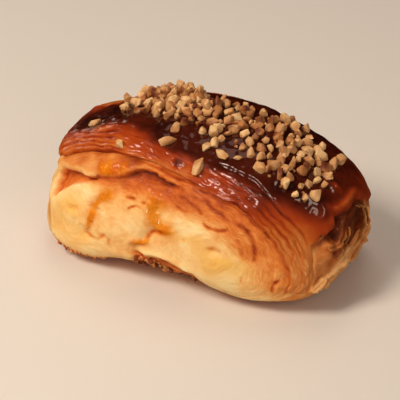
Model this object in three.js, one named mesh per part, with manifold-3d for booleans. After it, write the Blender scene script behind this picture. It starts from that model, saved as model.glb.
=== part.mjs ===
// A cream-filled puff pastry: laminated dough rolled up from both ends into two lobes, under a glazed crust
// strewn with chopped nuts, with two strands of custard that run from its front face to its back face.
// Millimetres, +Z up, front face towards -Y, origin on the table under the middle of the pastry.
import * as THREE from "three";
import { ConvexGeometry } from "three/addons/geometries/ConvexGeometry.js";
import { mergeVertices } from "three/addons/utils/BufferGeometryUtils.js";
import Module from "manifold-3d";

const wasm = await Module();
wasm.setup();

// Driving dimensions of the roll, and the centre line that its outline is drawn about
const LENGTH = 106;
const DEPTH = 61;
const HEIGHT = 47.4;
const CENTRE_X = -0.4;
const CENTRE_Y = -0.1;
const CENTRE_Z = 15.5;
// How square each corner of the front outline is, from the top right round to the bottom right
const CORNER_POWERS = [2.1, 2.34, 4.5, 2.75];
const CORNER_SPREAD = 0.6;
// How square the rim between the faces and the outside is, above and below the centre line
const RIM_POWER_TOP = 3.0;
const RIM_POWER_BOTTOM = 4.1;
// The faces lean back, and the soft base has flattened on the table
const LEAN = 0.077;
const FLATTENED = 1.2;
// The lower edge of each face is lifted between the two lobes
const LIFT = { front: 5.5, back: 3.6, x: -4.5, halfWidth: 22.8, from: 13, zone: 15 };
// The crust's edge on the faces: its angle from a face's middle, how far it climbs to the left, its thickness
const HOOD = { angle: 37, leftClimb: 27, thickness: 1.3, fade: 9, rightEnd: -20, leftEnd: 158 };
// The crust's outermost layer ends further out on the right, and leaves a band of layer edges below it
const RIM_BAND = { width: 18, widthAtTop: 25, depth: 0.6, leftEnd: 84 };
// A crack between two layers of a face, just inside the crust's edge on the right
const CRACK = { inside: 7, depth: 0.6, width: 2.2 };
// A torn layer's edge on the right end, which climbs to the back
const FLANK = { angle: 2, climb: 11, height: 0.35, hollow: 1.1 };
// The crust's ends stand proud and the layers below them lie back: angles round the outline, and how far out
const SWELL = [
  [-34, 0], [-27, -0.9], [-19, -0.9], [-8, -1.3], [0, -1.1], [8, 0.3], [14, 0.9], [22, 1.3], [30, 1.1],
  [38, 0.7], [46, 0], [116, 0], [126, -0.5], [136, -0.6], [142, 0], [146, 0.9], [150, 1.8], [154, 2],
  [158, 1.1], [162, -0.9], [168, -1.3], [174, -1.2], [184, 0],
];
const SWELL_FADE = [48, 70];
// Gentle lumps all over the crust
const LUMPS = { height: 0.4, length: 13 };
// Cells across and up a face, which also set the columns round the roll, and rows of vertices over the crust
const FACE_ACROSS = 32;
const FACE_UP = 16;
const COLUMNS = 2 * (FACE_ACROSS + FACE_UP);
const BAND_ROWS = [0.1, 0.4, 0.72];
const CROWN_ROWS = [0.07, 0.18, 0.29, 0.4, 0.5];

// Relief of the faces, drawn on X and Z: folds are open strokes, lobes and pits are ovals
const FOLDS = {
  pocketEdge: [
    [-45.4, 20], [-44.7, 26.5], [-42.6, 29.3], [-36, 32.2],
    [-28.2, 33.7], [-19.9, 36.2], [-12.9, 39.8], [1, 38],
  ],
  lobeTop: [[-14, 33.6], [-6, 34.4], [2, 34.2], [14.3, 32.1], [25, 26.1], [31.3, 17.8], [33.8, 12.4]],
  leftScroll: [[-22.6, 29.4], [-26.7, 26.2], [-28.3, 23.2], [-29.3, 20.5], [-30.7, 13.9]],
  middleSeam: [[-5, 31], [-5.4, 29.1], [-4.4, 25.1], [-6.5, 21.2], [-9.4, 17.4], [-12, 13.6]],
};
const FOLD_DEPTHS = { lobeTop: 0.5, leftScroll: 1.4, middleSeam: 1.5 };
const FOLD_WIDTH = 2.3;
const POCKETS = [{ x: -38, reach: 8, depth: 3 }, { x: -9.5, reach: 10, depth: 2.3 }];
const POCKET_FADE = 3;
const LOBES = [
  { x: -20.5, z: 20.5, across: 9.5, up: 8, height: 1.1 },
  { x: -39, z: 16.5, across: 8.5, up: 10.5, height: 1 },
  { x: 15, z: 17, across: 19, up: 11, height: 1.1 },
];
const PITS = [
  { x: 16, z: 20.8, across: 3.6, up: 1.5, height: -1.1 },
  { x: -37, z: 23, across: 3, up: 1.3, height: -0.8 },
];

// The custard strands: ovals on X and Z, clear of the dough all round
const STRANDS = {
  cream_left: { x: -37.3, z: 20.5, across: 6.2, up: 4.4, tilt: 25 },
  cream_right: { x: 18.5, z: 17, across: 9.5, up: 4.8, tilt: -22 },
};
const STRAND_SIDES = 26;
const STRAND_GAP = 0.3;

// Chopped nuts: a bed along the crown, two more layers heaped on its left half, and strays down the front
const NUT_SIZE = 4.1;
const NUT_POINTS = 10;
const NUT_BED = { draws: 700, left: -36, right: 43.5, front: -20, back: 21, spacing: 3.45 };
const NUT_LAYERS = [
  {
    draws: 60, left: -33, right: 0, front: -2, back: 20, spacing: 3.6,
    x: -17.5, y: 8.5, across: 15.5, deep: 9, rise: 2,
  },
  {
    draws: 60, left: -29, right: -6, front: 5, back: 18, spacing: 3.8,
    x: -17.5, y: 11, across: 10.5, deep: 6, rise: 4.4,
  },
];
// The middle line of the bed and half its width, at places along the crown
const NUT_MIDDLE = [[-38, 7], [-20, 6.5], [0, 5], [20, 2.5], [40, -1]];
const NUT_HALF_WIDTH = [[-38, 4], [-26, 10], [0, 11], [18, 14.5], [30, 16.5], [43, 13]];
// Strays: X, Y and size
const NUT_STRAYS = [
  [-39.7, -3.9, 3.6], [-23.8, -16.8, 3.8], [-8.3, -13.2, 4.6], [-8.6, -7.3, 4.1], [4.9, -19.4, 5],
  [4.6, -12.4, 3.7], [6.1, -9.1, 4.2], [10.4, -13.5, 3.9],
];
const NUT_SUNK = 0.22;
const NUT_HELD = 0.06;
const NUT_STEP = 0.25;

const DEGREES = Math.PI / 180;
const GOLDEN_STEP = 0.6180339887;

const share = (x) => x - Math.floor(x);
const turn = (angle) => angle - 360 * Math.round(angle / 360);

function softStep(from, to, x) {
  const t = Math.min(1, Math.max(0, (x - from) / (to - from)));
  return t * t * (3 - 2 * t);
}

function signedPower(x, power) {
  return Math.sign(x) * Math.abs(x) ** power;
}

// The value at x on straight lines through pairs of a place and a value
function between(pairs, x) {
  const k = pairs.findIndex(([place]) => place > x);
  if (k === 0) return pairs[0][1];
  if (k < 0) return pairs.at(-1)[1];
  const [from, low] = pairs[k - 1];
  const [to, high] = pairs[k];
  return low + ((high - low) * (x - from)) / (to - from);
}

// A repeatable draw from 0 to 1 for the nth nut
function draw(n, salt) {
  return share(Math.sin(n * 12.9898 + salt * 78.233) * 43758.5453);
}

// How square the front outline is at an angle round it
function cornerPower(angle) {
  let weights = 0;
  let sum = 0;
  CORNER_POWERS.forEach((power, k) => {
    const off = turn(angle - 45 - 90 * k) * DEGREES;
    const weight = Math.exp(-((off / CORNER_SPREAD) ** 2));
    weights += weight;
    sum += weight * power;
  });
  return sum / weights;
}

const halfLength = (across) => (across > 0 ? LENGTH / 2 - CENTRE_X : LENGTH / 2 + CENTRE_X);
const halfHeight = (up) => (up > 0 ? HEIGHT - CENTRE_Z : CENTRE_Z + FLATTENED);

function rimRoundness(angle) {
  const below = softStep(0.35, -0.35, Math.sin(angle * DEGREES));
  return 2 / (RIM_POWER_TOP + (RIM_POWER_BOTTOM - RIM_POWER_TOP) * below);
}

// A point of the plain roll: angle goes round its outline, reach from the front face's middle to the back's
function rollPoint(angle, reach) {
  const across = Math.cos(angle * DEGREES);
  const up = Math.sin(angle * DEGREES);
  const corner = 2 / cornerPower(angle);
  const rim = rimRoundness(angle);
  const radius = Math.abs(Math.sin(reach * DEGREES)) ** rim;
  const x = CENTRE_X + radius * halfLength(across) * signedPower(across, corner);
  const flatZ = CENTRE_Z + radius * halfHeight(up) * signedPower(up, corner);
  const fromMiddle = (-signedPower(Math.cos(reach * DEGREES), rim) * DEPTH) / 2;
  const y = CENTRE_Y + fromMiddle + LEAN * (flatZ - CENTRE_Z);
  const between = Math.exp(-(((x - LIFT.x) / LIFT.halfWidth) ** 4));
  const atFront = LIFT.front * softStep(-LIFT.from, 1 - DEPTH / 2, y);
  const atBack = LIFT.back * softStep(LIFT.from, DEPTH / 2 - 1, y);
  const lift = (between * (atFront + atBack)) / LIFT.zone;
  const z = flatZ < LIFT.zone ? LIFT.zone - (LIFT.zone - flatZ) * (1 - lift) : flatZ;
  return new THREE.Vector3(x, y, Math.max(z, 0));
}

function rollNormal(angle, reach) {
  const nearPole = Math.min(Math.max(reach, 3), 177);
  const round = rollPoint(angle + 1, nearPole).sub(rollPoint(angle - 1, nearPole));
  const along = rollPoint(angle, nearPole + 1).sub(rollPoint(angle, nearPole - 1));
  return along.cross(round).normalize();
}

// Where the crust's edge lies, as an angle from a face's middle, and how much of a hood it makes there
function hoodAngle(angle) {
  const left = softStep(65, 152, turn(angle)) + (turn(angle) < -90 ? 1 : 0);
  const lower = softStep(165, 215, turn(angle) < -90 ? turn(angle) + 360 : turn(angle));
  return HOOD.angle + HOOD.leftClimb * left * (1 - lower);
}

function hoodShare(angle) {
  const a = turn(angle);
  return softStep(HOOD.rightEnd - 14, HOOD.rightEnd, a) * softStep(HOOD.leftEnd + 6, HOOD.leftEnd - 6, a);
}

// Distance from a stroke on a face, below zero on its right-hand side as it is drawn
function strokeDistance(stroke, x, z) {
  let best = Infinity;
  let sign = 1;
  for (let i = 1; i < stroke.length; i++) {
    const a = stroke[i - 1];
    const b = stroke[i];
    const dx = b.x - a.x;
    const dz = b.y - a.y;
    const t = Math.min(1, Math.max(0, ((x - a.x) * dx + (z - a.y) * dz) / (dx * dx + dz * dz)));
    const distance = Math.hypot(x - a.x - t * dx, z - a.y - t * dz);
    if (distance < best) {
      best = distance;
      sign = dx * (z - a.y) - dz * (x - a.x) < 0 ? -1 : 1;
    }
  }
  return sign * best;
}

const strokes = {};
for (const [name, points] of Object.entries(FOLDS)) {
  strokes[name] = new THREE.SplineCurve(points.map(([x, z]) => new THREE.Vector2(x, z))).getPoints(36);
}

const ovalHeight = ({ x, z, across, up, height }, px, pz) =>
  height * Math.exp(-(((px - x) / across) ** 2) - ((pz - z) / up) ** 2);

// Folds, lobes and pockets of a face
function faceRelief(x, z) {
  let height = 0;
  for (const oval of [...LOBES, ...PITS]) height += ovalHeight(oval, x, z);
  for (const [name, depth] of Object.entries(FOLD_DEPTHS)) {
    height -= depth * Math.exp(-((strokeDistance(strokes[name], x, z) / FOLD_WIDTH) ** 2));
  }
  const fromEdge = strokeDistance(strokes.pocketEdge, x, z);
  for (const pocket of POCKETS) {
    const open = Math.exp(-(((x - pocket.x) / pocket.reach) ** 4));
    const fade = softStep(0.5, -1.4, fromEdge) * Math.exp(Math.min(0, fromEdge + 0.5) / POCKET_FADE);
    height -= pocket.depth * open * fade;
  }
  return height;
}

// How wide the band of layer edges is at an angle round the roll, and how much of it shows there
function bandWidth(angle) {
  return RIM_BAND.width + (RIM_BAND.widthAtTop - RIM_BAND.width) * softStep(42, 68, turn(angle));
}

function bandShare(angle) {
  const a = turn(angle);
  const end = softStep(RIM_BAND.leftEnd - 16, RIM_BAND.leftEnd, a);
  return softStep(HOOD.rightEnd - 14, HOOD.rightEnd, a) * (1 - end);
}

// Layers and lumps of the crust, from its edge on a face outwards
function crustRelief(angle, reach, beyondEdge, point) {
  const a = turn(angle);
  const width = bandWidth(angle);
  const band = RIM_BAND.depth * bandShare(angle) * (1 - softStep(width - 0.9, width + 0.9, beyondEdge));
  const edge = FLANK.angle + FLANK.climb * softStep(60, 100, reach);
  const alongFlank = softStep(54, 64, reach) * softStep(132, 118, reach);
  const onFlank = alongFlank * softStep(-60, -30, a) * softStep(60, 40, a);
  const torn = a < edge ? FLANK.height : -FLANK.hollow * Math.exp((edge - a) / 9);
  const across = Math.sin(point.x / LUMPS.length + 1.1);
  const deep = Math.sin(point.y / LUMPS.length + point.x / 31 + 0.6);
  return torn * onFlank - band + LUMPS.height * across * deep;
}

// How far the surface swells out, or lies back, at the two ends
function endSwell(angle, reach) {
  const a = turn(angle) < -90 ? turn(angle) + 360 : turn(angle);
  return between(SWELL, a) * softStep(...SWELL_FADE, Math.min(reach, 180 - reach));
}

// One vertex: the plain roll moved out by the relief, which fades to nothing on the flat base
function surfacePoint(angle, reach, onCrust) {
  const point = rollPoint(angle, reach);
  const beyondEdge = Math.min(reach, 180 - reach) - hoodAngle(angle);
  let height;
  if (onCrust) {
    height = crustRelief(angle, reach, beyondEdge, point);
  } else {
    const fromCrack = (beyondEdge + CRACK.inside) / CRACK.width;
    const crack = CRACK.depth * bandShare(angle) * Math.exp(-(fromCrack ** 2));
    const recess = HOOD.thickness * hoodShare(angle) * Math.exp(beyondEdge / HOOD.fade);
    height = faceRelief(point.x, point.z) - crack - recess;
  }
  height += endSwell(angle, reach);
  point.addScaledVector(rollNormal(angle, reach), height * softStep(0.3, 4, point.z));
  point.z = Math.max(point.z, 0);
  return point;
}

// Rows from the rim of the front face to the rim of the back one: a lip of crust hangs over each face
function crustRows() {
  const front = [
    { reach: (angle) => 0.985 * hoodAngle(angle), crust: false },
    { reach: (angle) => hoodAngle(angle) + 0.3 + 0.9 * hoodShare(angle), crust: false },
    { reach: (angle) => hoodAngle(angle) + 0.8 - 1.3 * hoodShare(angle), crust: true },
  ];
  for (const t of BAND_ROWS) {
    front.push({ reach: (angle) => hoodAngle(angle) + t * bandWidth(angle), crust: true });
  }
  for (const side of [-1, 1]) {
    front.push({ reach: (angle) => hoodAngle(angle) + bandWidth(angle) + side, crust: true });
  }
  for (const t of CROWN_ROWS) {
    front.push({
      reach: (angle) => {
        const start = hoodAngle(angle) + bandWidth(angle) + 1;
        return start + t * (180 - 2 * start);
      },
      crust: true,
    });
  }
  const mirrored = ({ reach, crust }) => ({ reach: (angle) => 180 - reach(angle), crust });
  return [...front, ...front.slice(0, -1).map(mirrored).reverse()];
}

// A place on a face, before its lower edge is lifted, and the angle and reach of the roll that give it
function facePlace(angle) {
  const radius = Math.sin(0.985 * hoodAngle(angle) * DEGREES) ** rimRoundness(angle);
  const corner = 2 / cornerPower(angle);
  const across = Math.cos(angle * DEGREES);
  const up = Math.sin(angle * DEGREES);
  return new THREE.Vector2(
    radius * halfLength(across) * signedPower(across, corner),
    radius * halfHeight(up) * signedPower(up, corner),
  );
}

function faceAngles({ x, y }) {
  const across = x / halfLength(x);
  const up = y / halfHeight(y);
  let angle = Math.atan2(up, across);
  let power = 2;
  for (let i = 0; i < 9; i++) {
    power = cornerPower(angle / DEGREES);
    angle = Math.atan2(signedPower(up, power / 2), signedPower(across, power / 2));
  }
  const radius = (Math.abs(across) ** power + Math.abs(up) ** power) ** (1 / power);
  const reach = Math.asin(Math.min(1, radius ** (1 / rimRoundness(angle / DEGREES))));
  return [angle / DEGREES, reach / DEGREES];
}

// Vertices of a face: a grid stretched between the four sides of its rim
function faceGrid(rim, put, toReach) {
  const step = 360 / COLUMNS;
  const corner = (90 * FACE_UP) / (FACE_ACROSS + FACE_UP);
  const top = (i) => 180 - corner - i * step;
  const bottom = (i) => 180 + corner + i * step;
  const left = (k) => 180 + corner - k * step;
  const right = (k) => -corner + k * step;
  const rimVertex = (angle) => rim[(Math.round(angle / step) + 2 * COLUMNS) % COLUMNS];
  const grid = [];
  for (let k = 0; k <= FACE_UP; k++) {
    const w = k / FACE_UP;
    grid.push([]);
    for (let i = 0; i <= FACE_ACROSS; i++) {
      const u = i / FACE_ACROSS;
      if (k === 0) grid[k].push(rimVertex(bottom(i)));
      else if (k === FACE_UP) grid[k].push(rimVertex(top(i)));
      else if (i === 0) grid[k].push(rimVertex(left(k)));
      else if (i === FACE_ACROSS) grid[k].push(rimVertex(right(k)));
      else {
        const place = new THREE.Vector2();
        place.addScaledVector(facePlace(bottom(i)), 1 - w).addScaledVector(facePlace(top(i)), w);
        place.addScaledVector(facePlace(left(k)), 1 - u).addScaledVector(facePlace(right(k)), u);
        place.addScaledVector(facePlace(bottom(0)), -(1 - u) * (1 - w));
        place.addScaledVector(facePlace(top(0)), -(1 - u) * w);
        place.addScaledVector(facePlace(right(0)), -u * (1 - w));
        place.addScaledVector(facePlace(right(FACE_UP)), -u * w);
        const [angle, reach] = faceAngles(place);
        grid[k].push(put(surfacePoint(angle, toReach(reach), false)));
      }
    }
  }
  return grid;
}

function rollGeometry() {
  const positions = [];
  const index = [];
  const put = (p) => positions.push(p.x, p.y, p.z) / 3 - 1;
  const quad = (a, b, c, d) => index.push(a, b, c, a, c, d);
  const rings = crustRows().map((row) =>
    Array.from({ length: COLUMNS }, (_, j) => {
      const angle = (360 * j) / COLUMNS;
      return put(surfacePoint(angle, row.reach(angle), row.crust));
    }),
  );
  for (let i = 1; i < rings.length; i++) {
    for (let j = 0; j < COLUMNS; j++) {
      const k = (j + 1) % COLUMNS;
      quad(rings[i - 1][j], rings[i][j], rings[i][k], rings[i - 1][k]);
    }
  }
  const front = faceGrid(rings[0], put, (reach) => reach);
  const back = faceGrid(rings.at(-1), put, (reach) => 180 - reach);
  for (let k = 0; k < FACE_UP; k++) {
    for (let i = 0; i < FACE_ACROSS; i++) {
      quad(front[k][i], front[k][i + 1], front[k + 1][i + 1], front[k + 1][i]);
      quad(back[k][i], back[k + 1][i], back[k + 1][i + 1], back[k][i + 1]);
    }
  }
  const geometry = new THREE.BufferGeometry();
  geometry.setAttribute("position", new THREE.Float32BufferAttribute(positions, 3));
  geometry.setIndex(index);
  return geometry;
}

function toSolid(geometry) {
  geometry.deleteAttribute("normal");
  geometry.deleteAttribute("uv");
  const merged = mergeVertices(geometry, 1e-4);
  return new wasm.Manifold(
    new wasm.Mesh({
      numProp: 3,
      vertProperties: new Float32Array(merged.attributes.position.array),
      triVerts: new Uint32Array(merged.index.array),
    }),
  );
}

function toGeometry(solid) {
  const mesh = solid.getMesh();
  const geometry = new THREE.BufferGeometry();
  geometry.setAttribute("position", new THREE.BufferAttribute(mesh.vertProperties, mesh.numProp));
  geometry.setIndex(new THREE.BufferAttribute(mesh.triVerts, 1));
  geometry.computeVertexNormals();
  return geometry;
}

// An oval rod along Y, longer than the pastry is deep
function strandSolid({ x, z, across, up, tilt }, gap) {
  const rod = new THREE.CylinderGeometry(1, 1, 2 * DEPTH, STRAND_SIDES, 1);
  rod.scale(across + gap, 1, up + gap);
  rod.rotateY(tilt * DEGREES);
  rod.translate(x, 0, z);
  return toSolid(rod);
}

// An angular chip of nut: the hull of points spread evenly over a lopsided oval
function nutSolid(n, size, place, normal) {
  const stretch = new THREE.Vector3(0.8 + 0.5 * draw(n, 1), 0.75 + 0.35 * draw(n, 2), 0.6 + 0.3 * draw(n, 3));
  const points = [];
  for (let i = 0; i < NUT_POINTS; i++) {
    const height = 1 - (2 * i + 1) / NUT_POINTS;
    const ring = Math.sqrt(1 - height * height);
    const angle = 2 * Math.PI * GOLDEN_STEP * i + n;
    const radius = (size / 2) * (0.78 + 0.36 * draw(n, 10 + i));
    const spoke = new THREE.Vector3(ring * Math.cos(angle), ring * Math.sin(angle), height);
    points.push(spoke.multiply(stretch).multiplyScalar(radius));
  }
  const chip = new ConvexGeometry(points);
  const spin = new THREE.Euler(0.9 * (draw(n, 4) - 0.5), 0.9 * (draw(n, 5) - 0.5), 2 * Math.PI * draw(n, 6));
  chip.applyMatrix4(new THREE.Matrix4().makeRotationFromEuler(spin));
  const centre = place.clone().addScaledVector(normal, size * (0.36 - NUT_SUNK));
  chip.translate(centre.x, centre.y, centre.z);
  return toSolid(chip);
}

const nutSize = (n) => NUT_SIZE * (0.72 + 0.5 * draw(n, 7));

// How thickly nuts lie at a place on the crown
function nutCover(x, y) {
  const fromMiddle = Math.abs(y - between(NUT_MIDDLE, x)) / between(NUT_HALF_WIDTH, x);
  const ends = softStep(NUT_BED.left, NUT_BED.left + 6, x) * softStep(NUT_BED.right, NUT_BED.right - 6, x);
  return ends * (1 - softStep(0.65, 1.05, fromMiddle));
}

// Places and sizes of the nuts: repeatable draws, each kept if it is clear of those before it
function nutPlaces() {
  const places = [];
  const scatter = (area, first, rise, keep) => {
    const layer = [];
    for (let n = first; n < first + area.draws; n++) {
      const x = area.left + (area.right - area.left) * draw(n, 20);
      const y = area.front + (area.back - area.front) * draw(n, 21);
      const clear = layer.every((other) => Math.hypot(x - other.x, y - other.y) > area.spacing);
      if (clear && keep(x, y, n)) layer.push({ n, x, y, rise: rise(x, y), size: nutSize(n) });
    }
    places.push(...layer);
  };
  scatter(NUT_BED, 1, () => 0, (x, y, n) => nutCover(x, y) > draw(n, 8));
  NUT_LAYERS.forEach((layer, i) => {
    const off = (x, y) => Math.hypot((x - layer.x) / layer.across, (y - layer.y) / layer.deep);
    scatter(layer, 5001 + 1000 * i, (x, y) => layer.rise * (1 - 0.4 * off(x, y)), (x, y) => off(x, y) < 1);
  });
  NUT_STRAYS.forEach(([x, y, size], i) => places.push({ n: 8001 + i, x, y, rise: 0, size }));
  return places;
}

// Nuts lie on the crust, and those of the upper layers sink until they are held by what is under them
function withNuts(roll, rollShape) {
  const crown = new THREE.Mesh(rollShape);
  const down = new THREE.Vector3(0, 0, -1);
  const ray = new THREE.Raycaster();
  let joined = roll;
  for (const { n, x, y, rise, size } of nutPlaces()) {
    ray.set(new THREE.Vector3(x, y, 2 * HEIGHT), down);
    const { point, face } = ray.intersectObject(crown)[0];
    let height = rise;
    let chip = nutSolid(n, size, point.clone().addScaledVector(face.normal, height), face.normal);
    while (joined.intersect(chip).volume() < NUT_HELD * chip.volume()) {
      height -= NUT_STEP;
      chip = nutSolid(n, size, point.clone().addScaledVector(face.normal, height), face.normal);
    }
    joined = joined.add(chip);
  }
  return joined;
}

const rollShape = rollGeometry();
const roll = toSolid(rollShape);
let dough = withNuts(roll, rollShape);
const solids = {};
for (const [name, strand] of Object.entries(STRANDS)) {
  solids[name] = strandSolid(strand, 0).intersect(roll);
  dough = dough.subtract(strandSolid(strand, STRAND_GAP));
}
solids.pastry = dough;

const crustFinish = new THREE.MeshStandardMaterial({ color: 0xb8662a, roughness: 0.45, metalness: 0 });
const custardFinish = new THREE.MeshStandardMaterial({ color: 0xf2c069, roughness: 0.5, metalness: 0 });

const pastry = new THREE.Group();
for (const [name, solid] of Object.entries(solids)) {
  const mesh = new THREE.Mesh(toGeometry(solid), name === "pastry" ? crustFinish : custardFinish);
  mesh.name = name;
  pastry.add(mesh);
}

export default pastry;
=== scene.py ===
import math

import bmesh
import bpy
import numpy as np
from mathutils import Matrix, Vector
from mathutils.bvhtree import BVHTree


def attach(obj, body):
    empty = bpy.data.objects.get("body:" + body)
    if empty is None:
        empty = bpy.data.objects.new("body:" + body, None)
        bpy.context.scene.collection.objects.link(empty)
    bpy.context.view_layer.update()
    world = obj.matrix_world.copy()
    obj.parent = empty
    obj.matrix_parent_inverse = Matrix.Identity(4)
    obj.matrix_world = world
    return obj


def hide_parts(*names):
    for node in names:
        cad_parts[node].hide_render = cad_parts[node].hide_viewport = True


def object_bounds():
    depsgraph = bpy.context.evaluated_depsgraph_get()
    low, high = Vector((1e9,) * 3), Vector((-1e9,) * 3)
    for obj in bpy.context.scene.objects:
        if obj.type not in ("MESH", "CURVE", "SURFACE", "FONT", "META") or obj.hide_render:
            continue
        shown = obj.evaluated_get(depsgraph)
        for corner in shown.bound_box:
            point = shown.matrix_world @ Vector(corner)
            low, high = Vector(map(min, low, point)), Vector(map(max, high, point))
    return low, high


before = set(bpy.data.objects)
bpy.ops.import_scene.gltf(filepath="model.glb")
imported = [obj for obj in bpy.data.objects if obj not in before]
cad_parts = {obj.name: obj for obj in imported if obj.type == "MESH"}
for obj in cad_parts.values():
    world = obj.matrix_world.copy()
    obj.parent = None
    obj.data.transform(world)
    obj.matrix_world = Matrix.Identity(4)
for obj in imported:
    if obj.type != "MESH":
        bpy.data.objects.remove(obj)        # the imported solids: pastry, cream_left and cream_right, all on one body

scene = bpy.context.scene
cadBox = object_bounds()
drawnLength = 106.15        # length of the pastry in the drawing below, which is in millimetres
unit = (cadBox[1].x - cadBox[0].x) / drawnLength
body = "root"


# Camera, floor and light

studio = {
    "azimuth": 24.9, "elevation": 34, "distance": 727.8, "aim": (-3.48, 0, 16.26),
    "lens": 198, "sensor": 36, "clip": (0.01, 50), "lampAim": (0, 0, 20), "floorSize": 6000,
    "floorColour": (226, 214, 200),
}
lamps = {        # direction, distance and width in millimetres, watts, colour, and what each lamp is for
    "key": {"azimuth": -38, "elevation": 51, "distance": 620, "width": 220, "watts": 3.0,
            "tint": (1, 0.93, 0.84), "lights": True, "gleams": False},
    "window": {"azimuth": -9, "elevation": 49, "distance": 620, "width": 130, "watts": 1.3,
               "tint": (1, 0.74, 0.62), "lights": False, "gleams": True},
    "sparkle": {"azimuth": -64, "elevation": 50, "distance": 640, "width": 90, "watts": 0.5,
                "tint": (1, 0.76, 0.64), "lights": False, "gleams": True},
    "side": {"azimuth": 112, "elevation": 46, "distance": 640, "width": 120, "watts": 0.24,
             "tint": (1, 0.72, 0.58), "lights": False, "gleams": True},
    "face": {"azimuth": -14, "elevation": 6, "distance": 640, "width": 80, "watts": 0.22,
             "tint": (1, 0.86, 0.74), "lights": False, "gleams": True},
    "rim": {"azimuth": -122, "elevation": 14, "distance": 640, "width": 160, "watts": 0.15,
            "tint": (1, 0.74, 0.6), "lights": False, "gleams": True},
    "haze": {"azimuth": -160, "elevation": 63, "distance": 700, "width": 240, "watts": 0.22,
             "tint": (1, 0.62, 0.5), "lights": True, "gleams": True},
    "fill": {"azimuth": 50, "elevation": 30, "distance": 800, "width": 500, "watts": 1.2,
             "tint": (1, 0.91, 0.82), "lights": True, "gleams": False},
    "back": {"azimuth": 200, "elevation": 58, "distance": 760, "width": 420, "watts": 0.9,
             "tint": (1, 0.95, 0.9), "lights": True, "gleams": False},
}
sky = {"tint": (1, 0.95, 0.9, 1), "strength": 0.2}


def towards(azimuth, elevation):
    a, e = math.radians(azimuth), math.radians(elevation)
    return Vector((math.sin(a) * math.cos(e), -math.cos(a) * math.cos(e), math.sin(e)))


def place(obj, azimuth, elevation, distance, aim):
    back = towards(azimuth, elevation)
    obj.location = (Vector(aim) + back * distance) * unit
    obj.rotation_euler = (-back).to_track_quat("-Z", "Y").to_euler()
    scene.collection.objects.link(obj)


def makeStudio():
    lens = bpy.data.cameras.new("camera")
    lens.lens, lens.sensor_width = studio["lens"], studio["sensor"]
    lens.clip_start, lens.clip_end = studio["clip"]
    camera = bpy.data.objects.new("camera", lens)
    place(camera, studio["azimuth"], studio["elevation"], studio["distance"], studio["aim"])
    scene.camera = camera
    for name, lamp in lamps.items():
        light = bpy.data.lights.new(name, "AREA")
        light.size = lamp["width"] * unit
        light.energy = lamp["watts"]
        light.color = lamp["tint"]
        stand = bpy.data.objects.new(name, light)
        stand.visible_diffuse = lamp["lights"]
        stand.visible_glossy = lamp["gleams"]
        place(stand, lamp["azimuth"], lamp["elevation"], lamp["distance"], studio["lampAim"])
    half = studio["floorSize"] * unit / 2
    sheet = bpy.data.meshes.new("floor")
    corners = [(-half, -half, 0), (half, -half, 0), (half, half, 0), (-half, half, 0)]
    sheet.from_pydata(corners, [], [(0, 1, 2, 3)])
    floor = bpy.data.objects.new("floor", sheet)
    scene.collection.objects.link(floor)
    floor.visible_glossy = False        # the glaze mirrors only the lamps
    scene.world = scene.world or bpy.data.worlds.new("studio")
    scene.world.use_nodes = True
    scene.world.cycles_visibility.glossy = False
    around = scene.world.node_tree.nodes["Background"]
    around.inputs["Color"].default_value = sky["tint"]
    around.inputs["Strength"].default_value = sky["strength"]
    scene.view_settings.view_transform = "Standard"
    return floor


# Small tools for shapes

def softStep(start, end, x):
    t = np.clip((x - start) / (end - start), 0, 1)
    return t * t * (3 - 2 * t)


def blend(a, b, share):
    return a + (b - a) * share


def signedPower(x, power):
    return np.sign(x) * np.abs(x) ** power


def turn(angle):        # the same angle between -180 and 180
    return angle - 360 * np.round(angle / 360)


def draw(n, salt):        # a repeatable draw from 0 to 1
    value = np.sin(n * 12.9898 + salt * 78.233) * 43758.5453
    return value - np.floor(value)


def ripple(spots, size, seed):        # smooth random heights from -1 to 1, one bump for each size
    spots = np.asarray(spots) / size
    cell = np.floor(spots).astype(np.int64)
    part = spots - cell
    ease = part * part * (3 - 2 * part)
    total = np.zeros(spots.shape[:-1])
    for corner in np.ndindex(2, 2, 2):
        key = (cell + corner) @ np.array([374761393, 668265263, 1274126177]) + seed * 69069
        key = (key ^ (key >> 13)) * 1103515245 & 0xFFFFFFFF
        key = key ^ (key >> 16)
        weight = np.prod(np.where(corner, ease, 1 - ease), axis=-1)
        total += weight * ((key & 0xFFFF) / 32767.5 - 1)
    return total


def spline(points, steps=36):        # a smooth stroke through a few points
    p = np.array([points[0], *points, points[-1]], float)
    t = np.linspace(0, len(points) - 1, steps)
    i = np.minimum(t.astype(int), len(points) - 2)
    f = (t - i)[:, None]
    a, b, c, d = p[i], p[i + 1], p[i + 2], p[i + 3]
    square, cube = 2 * a - 5 * b + 4 * c - d, 3 * b - a - 3 * c + d
    return 0.5 * (2 * b + (c - a) * f + square * f ** 2 + cube * f ** 3)


def strokeDistance(stroke, x, z):        # millimetres from a stroke, below zero on its right-hand side
    best = np.full(x.shape, np.inf)
    side = np.ones(x.shape)
    for (ax, az), (bx, bz) in zip(stroke[:-1], stroke[1:]):
        dx, dz = bx - ax, bz - az
        t = np.clip(((x - ax) * dx + (z - az) * dz) / (dx * dx + dz * dz), 0, 1)
        gap = np.hypot(x - ax - t * dx, z - az - t * dz)
        nearer = gap < best
        best = np.where(nearer, gap, best)
        side = np.where(nearer, np.where(dx * (z - az) - dz * (x - ax) < 0, -1, 1), side)
    return side * best


def bell(x, width):        # 1 at the middle, fading out over a width to both sides
    return np.exp(-(x / width) ** 2)


def oval(x, z, spot):        # the same, round a spot
    cx, cz, across, up = spot[:4]
    return np.exp(-((x - cx) / across) ** 2 - ((z - cz) / up) ** 2)


def grain(depth, spots, thick, run, seed):        # ripples drawn out along thin layers
    x, yz = spots[..., 0] / run, (spots[..., 1] + spots[..., 2]) / run
    return ripple(np.stack([depth / thick, x, yz], -1), 1, seed)


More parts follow.
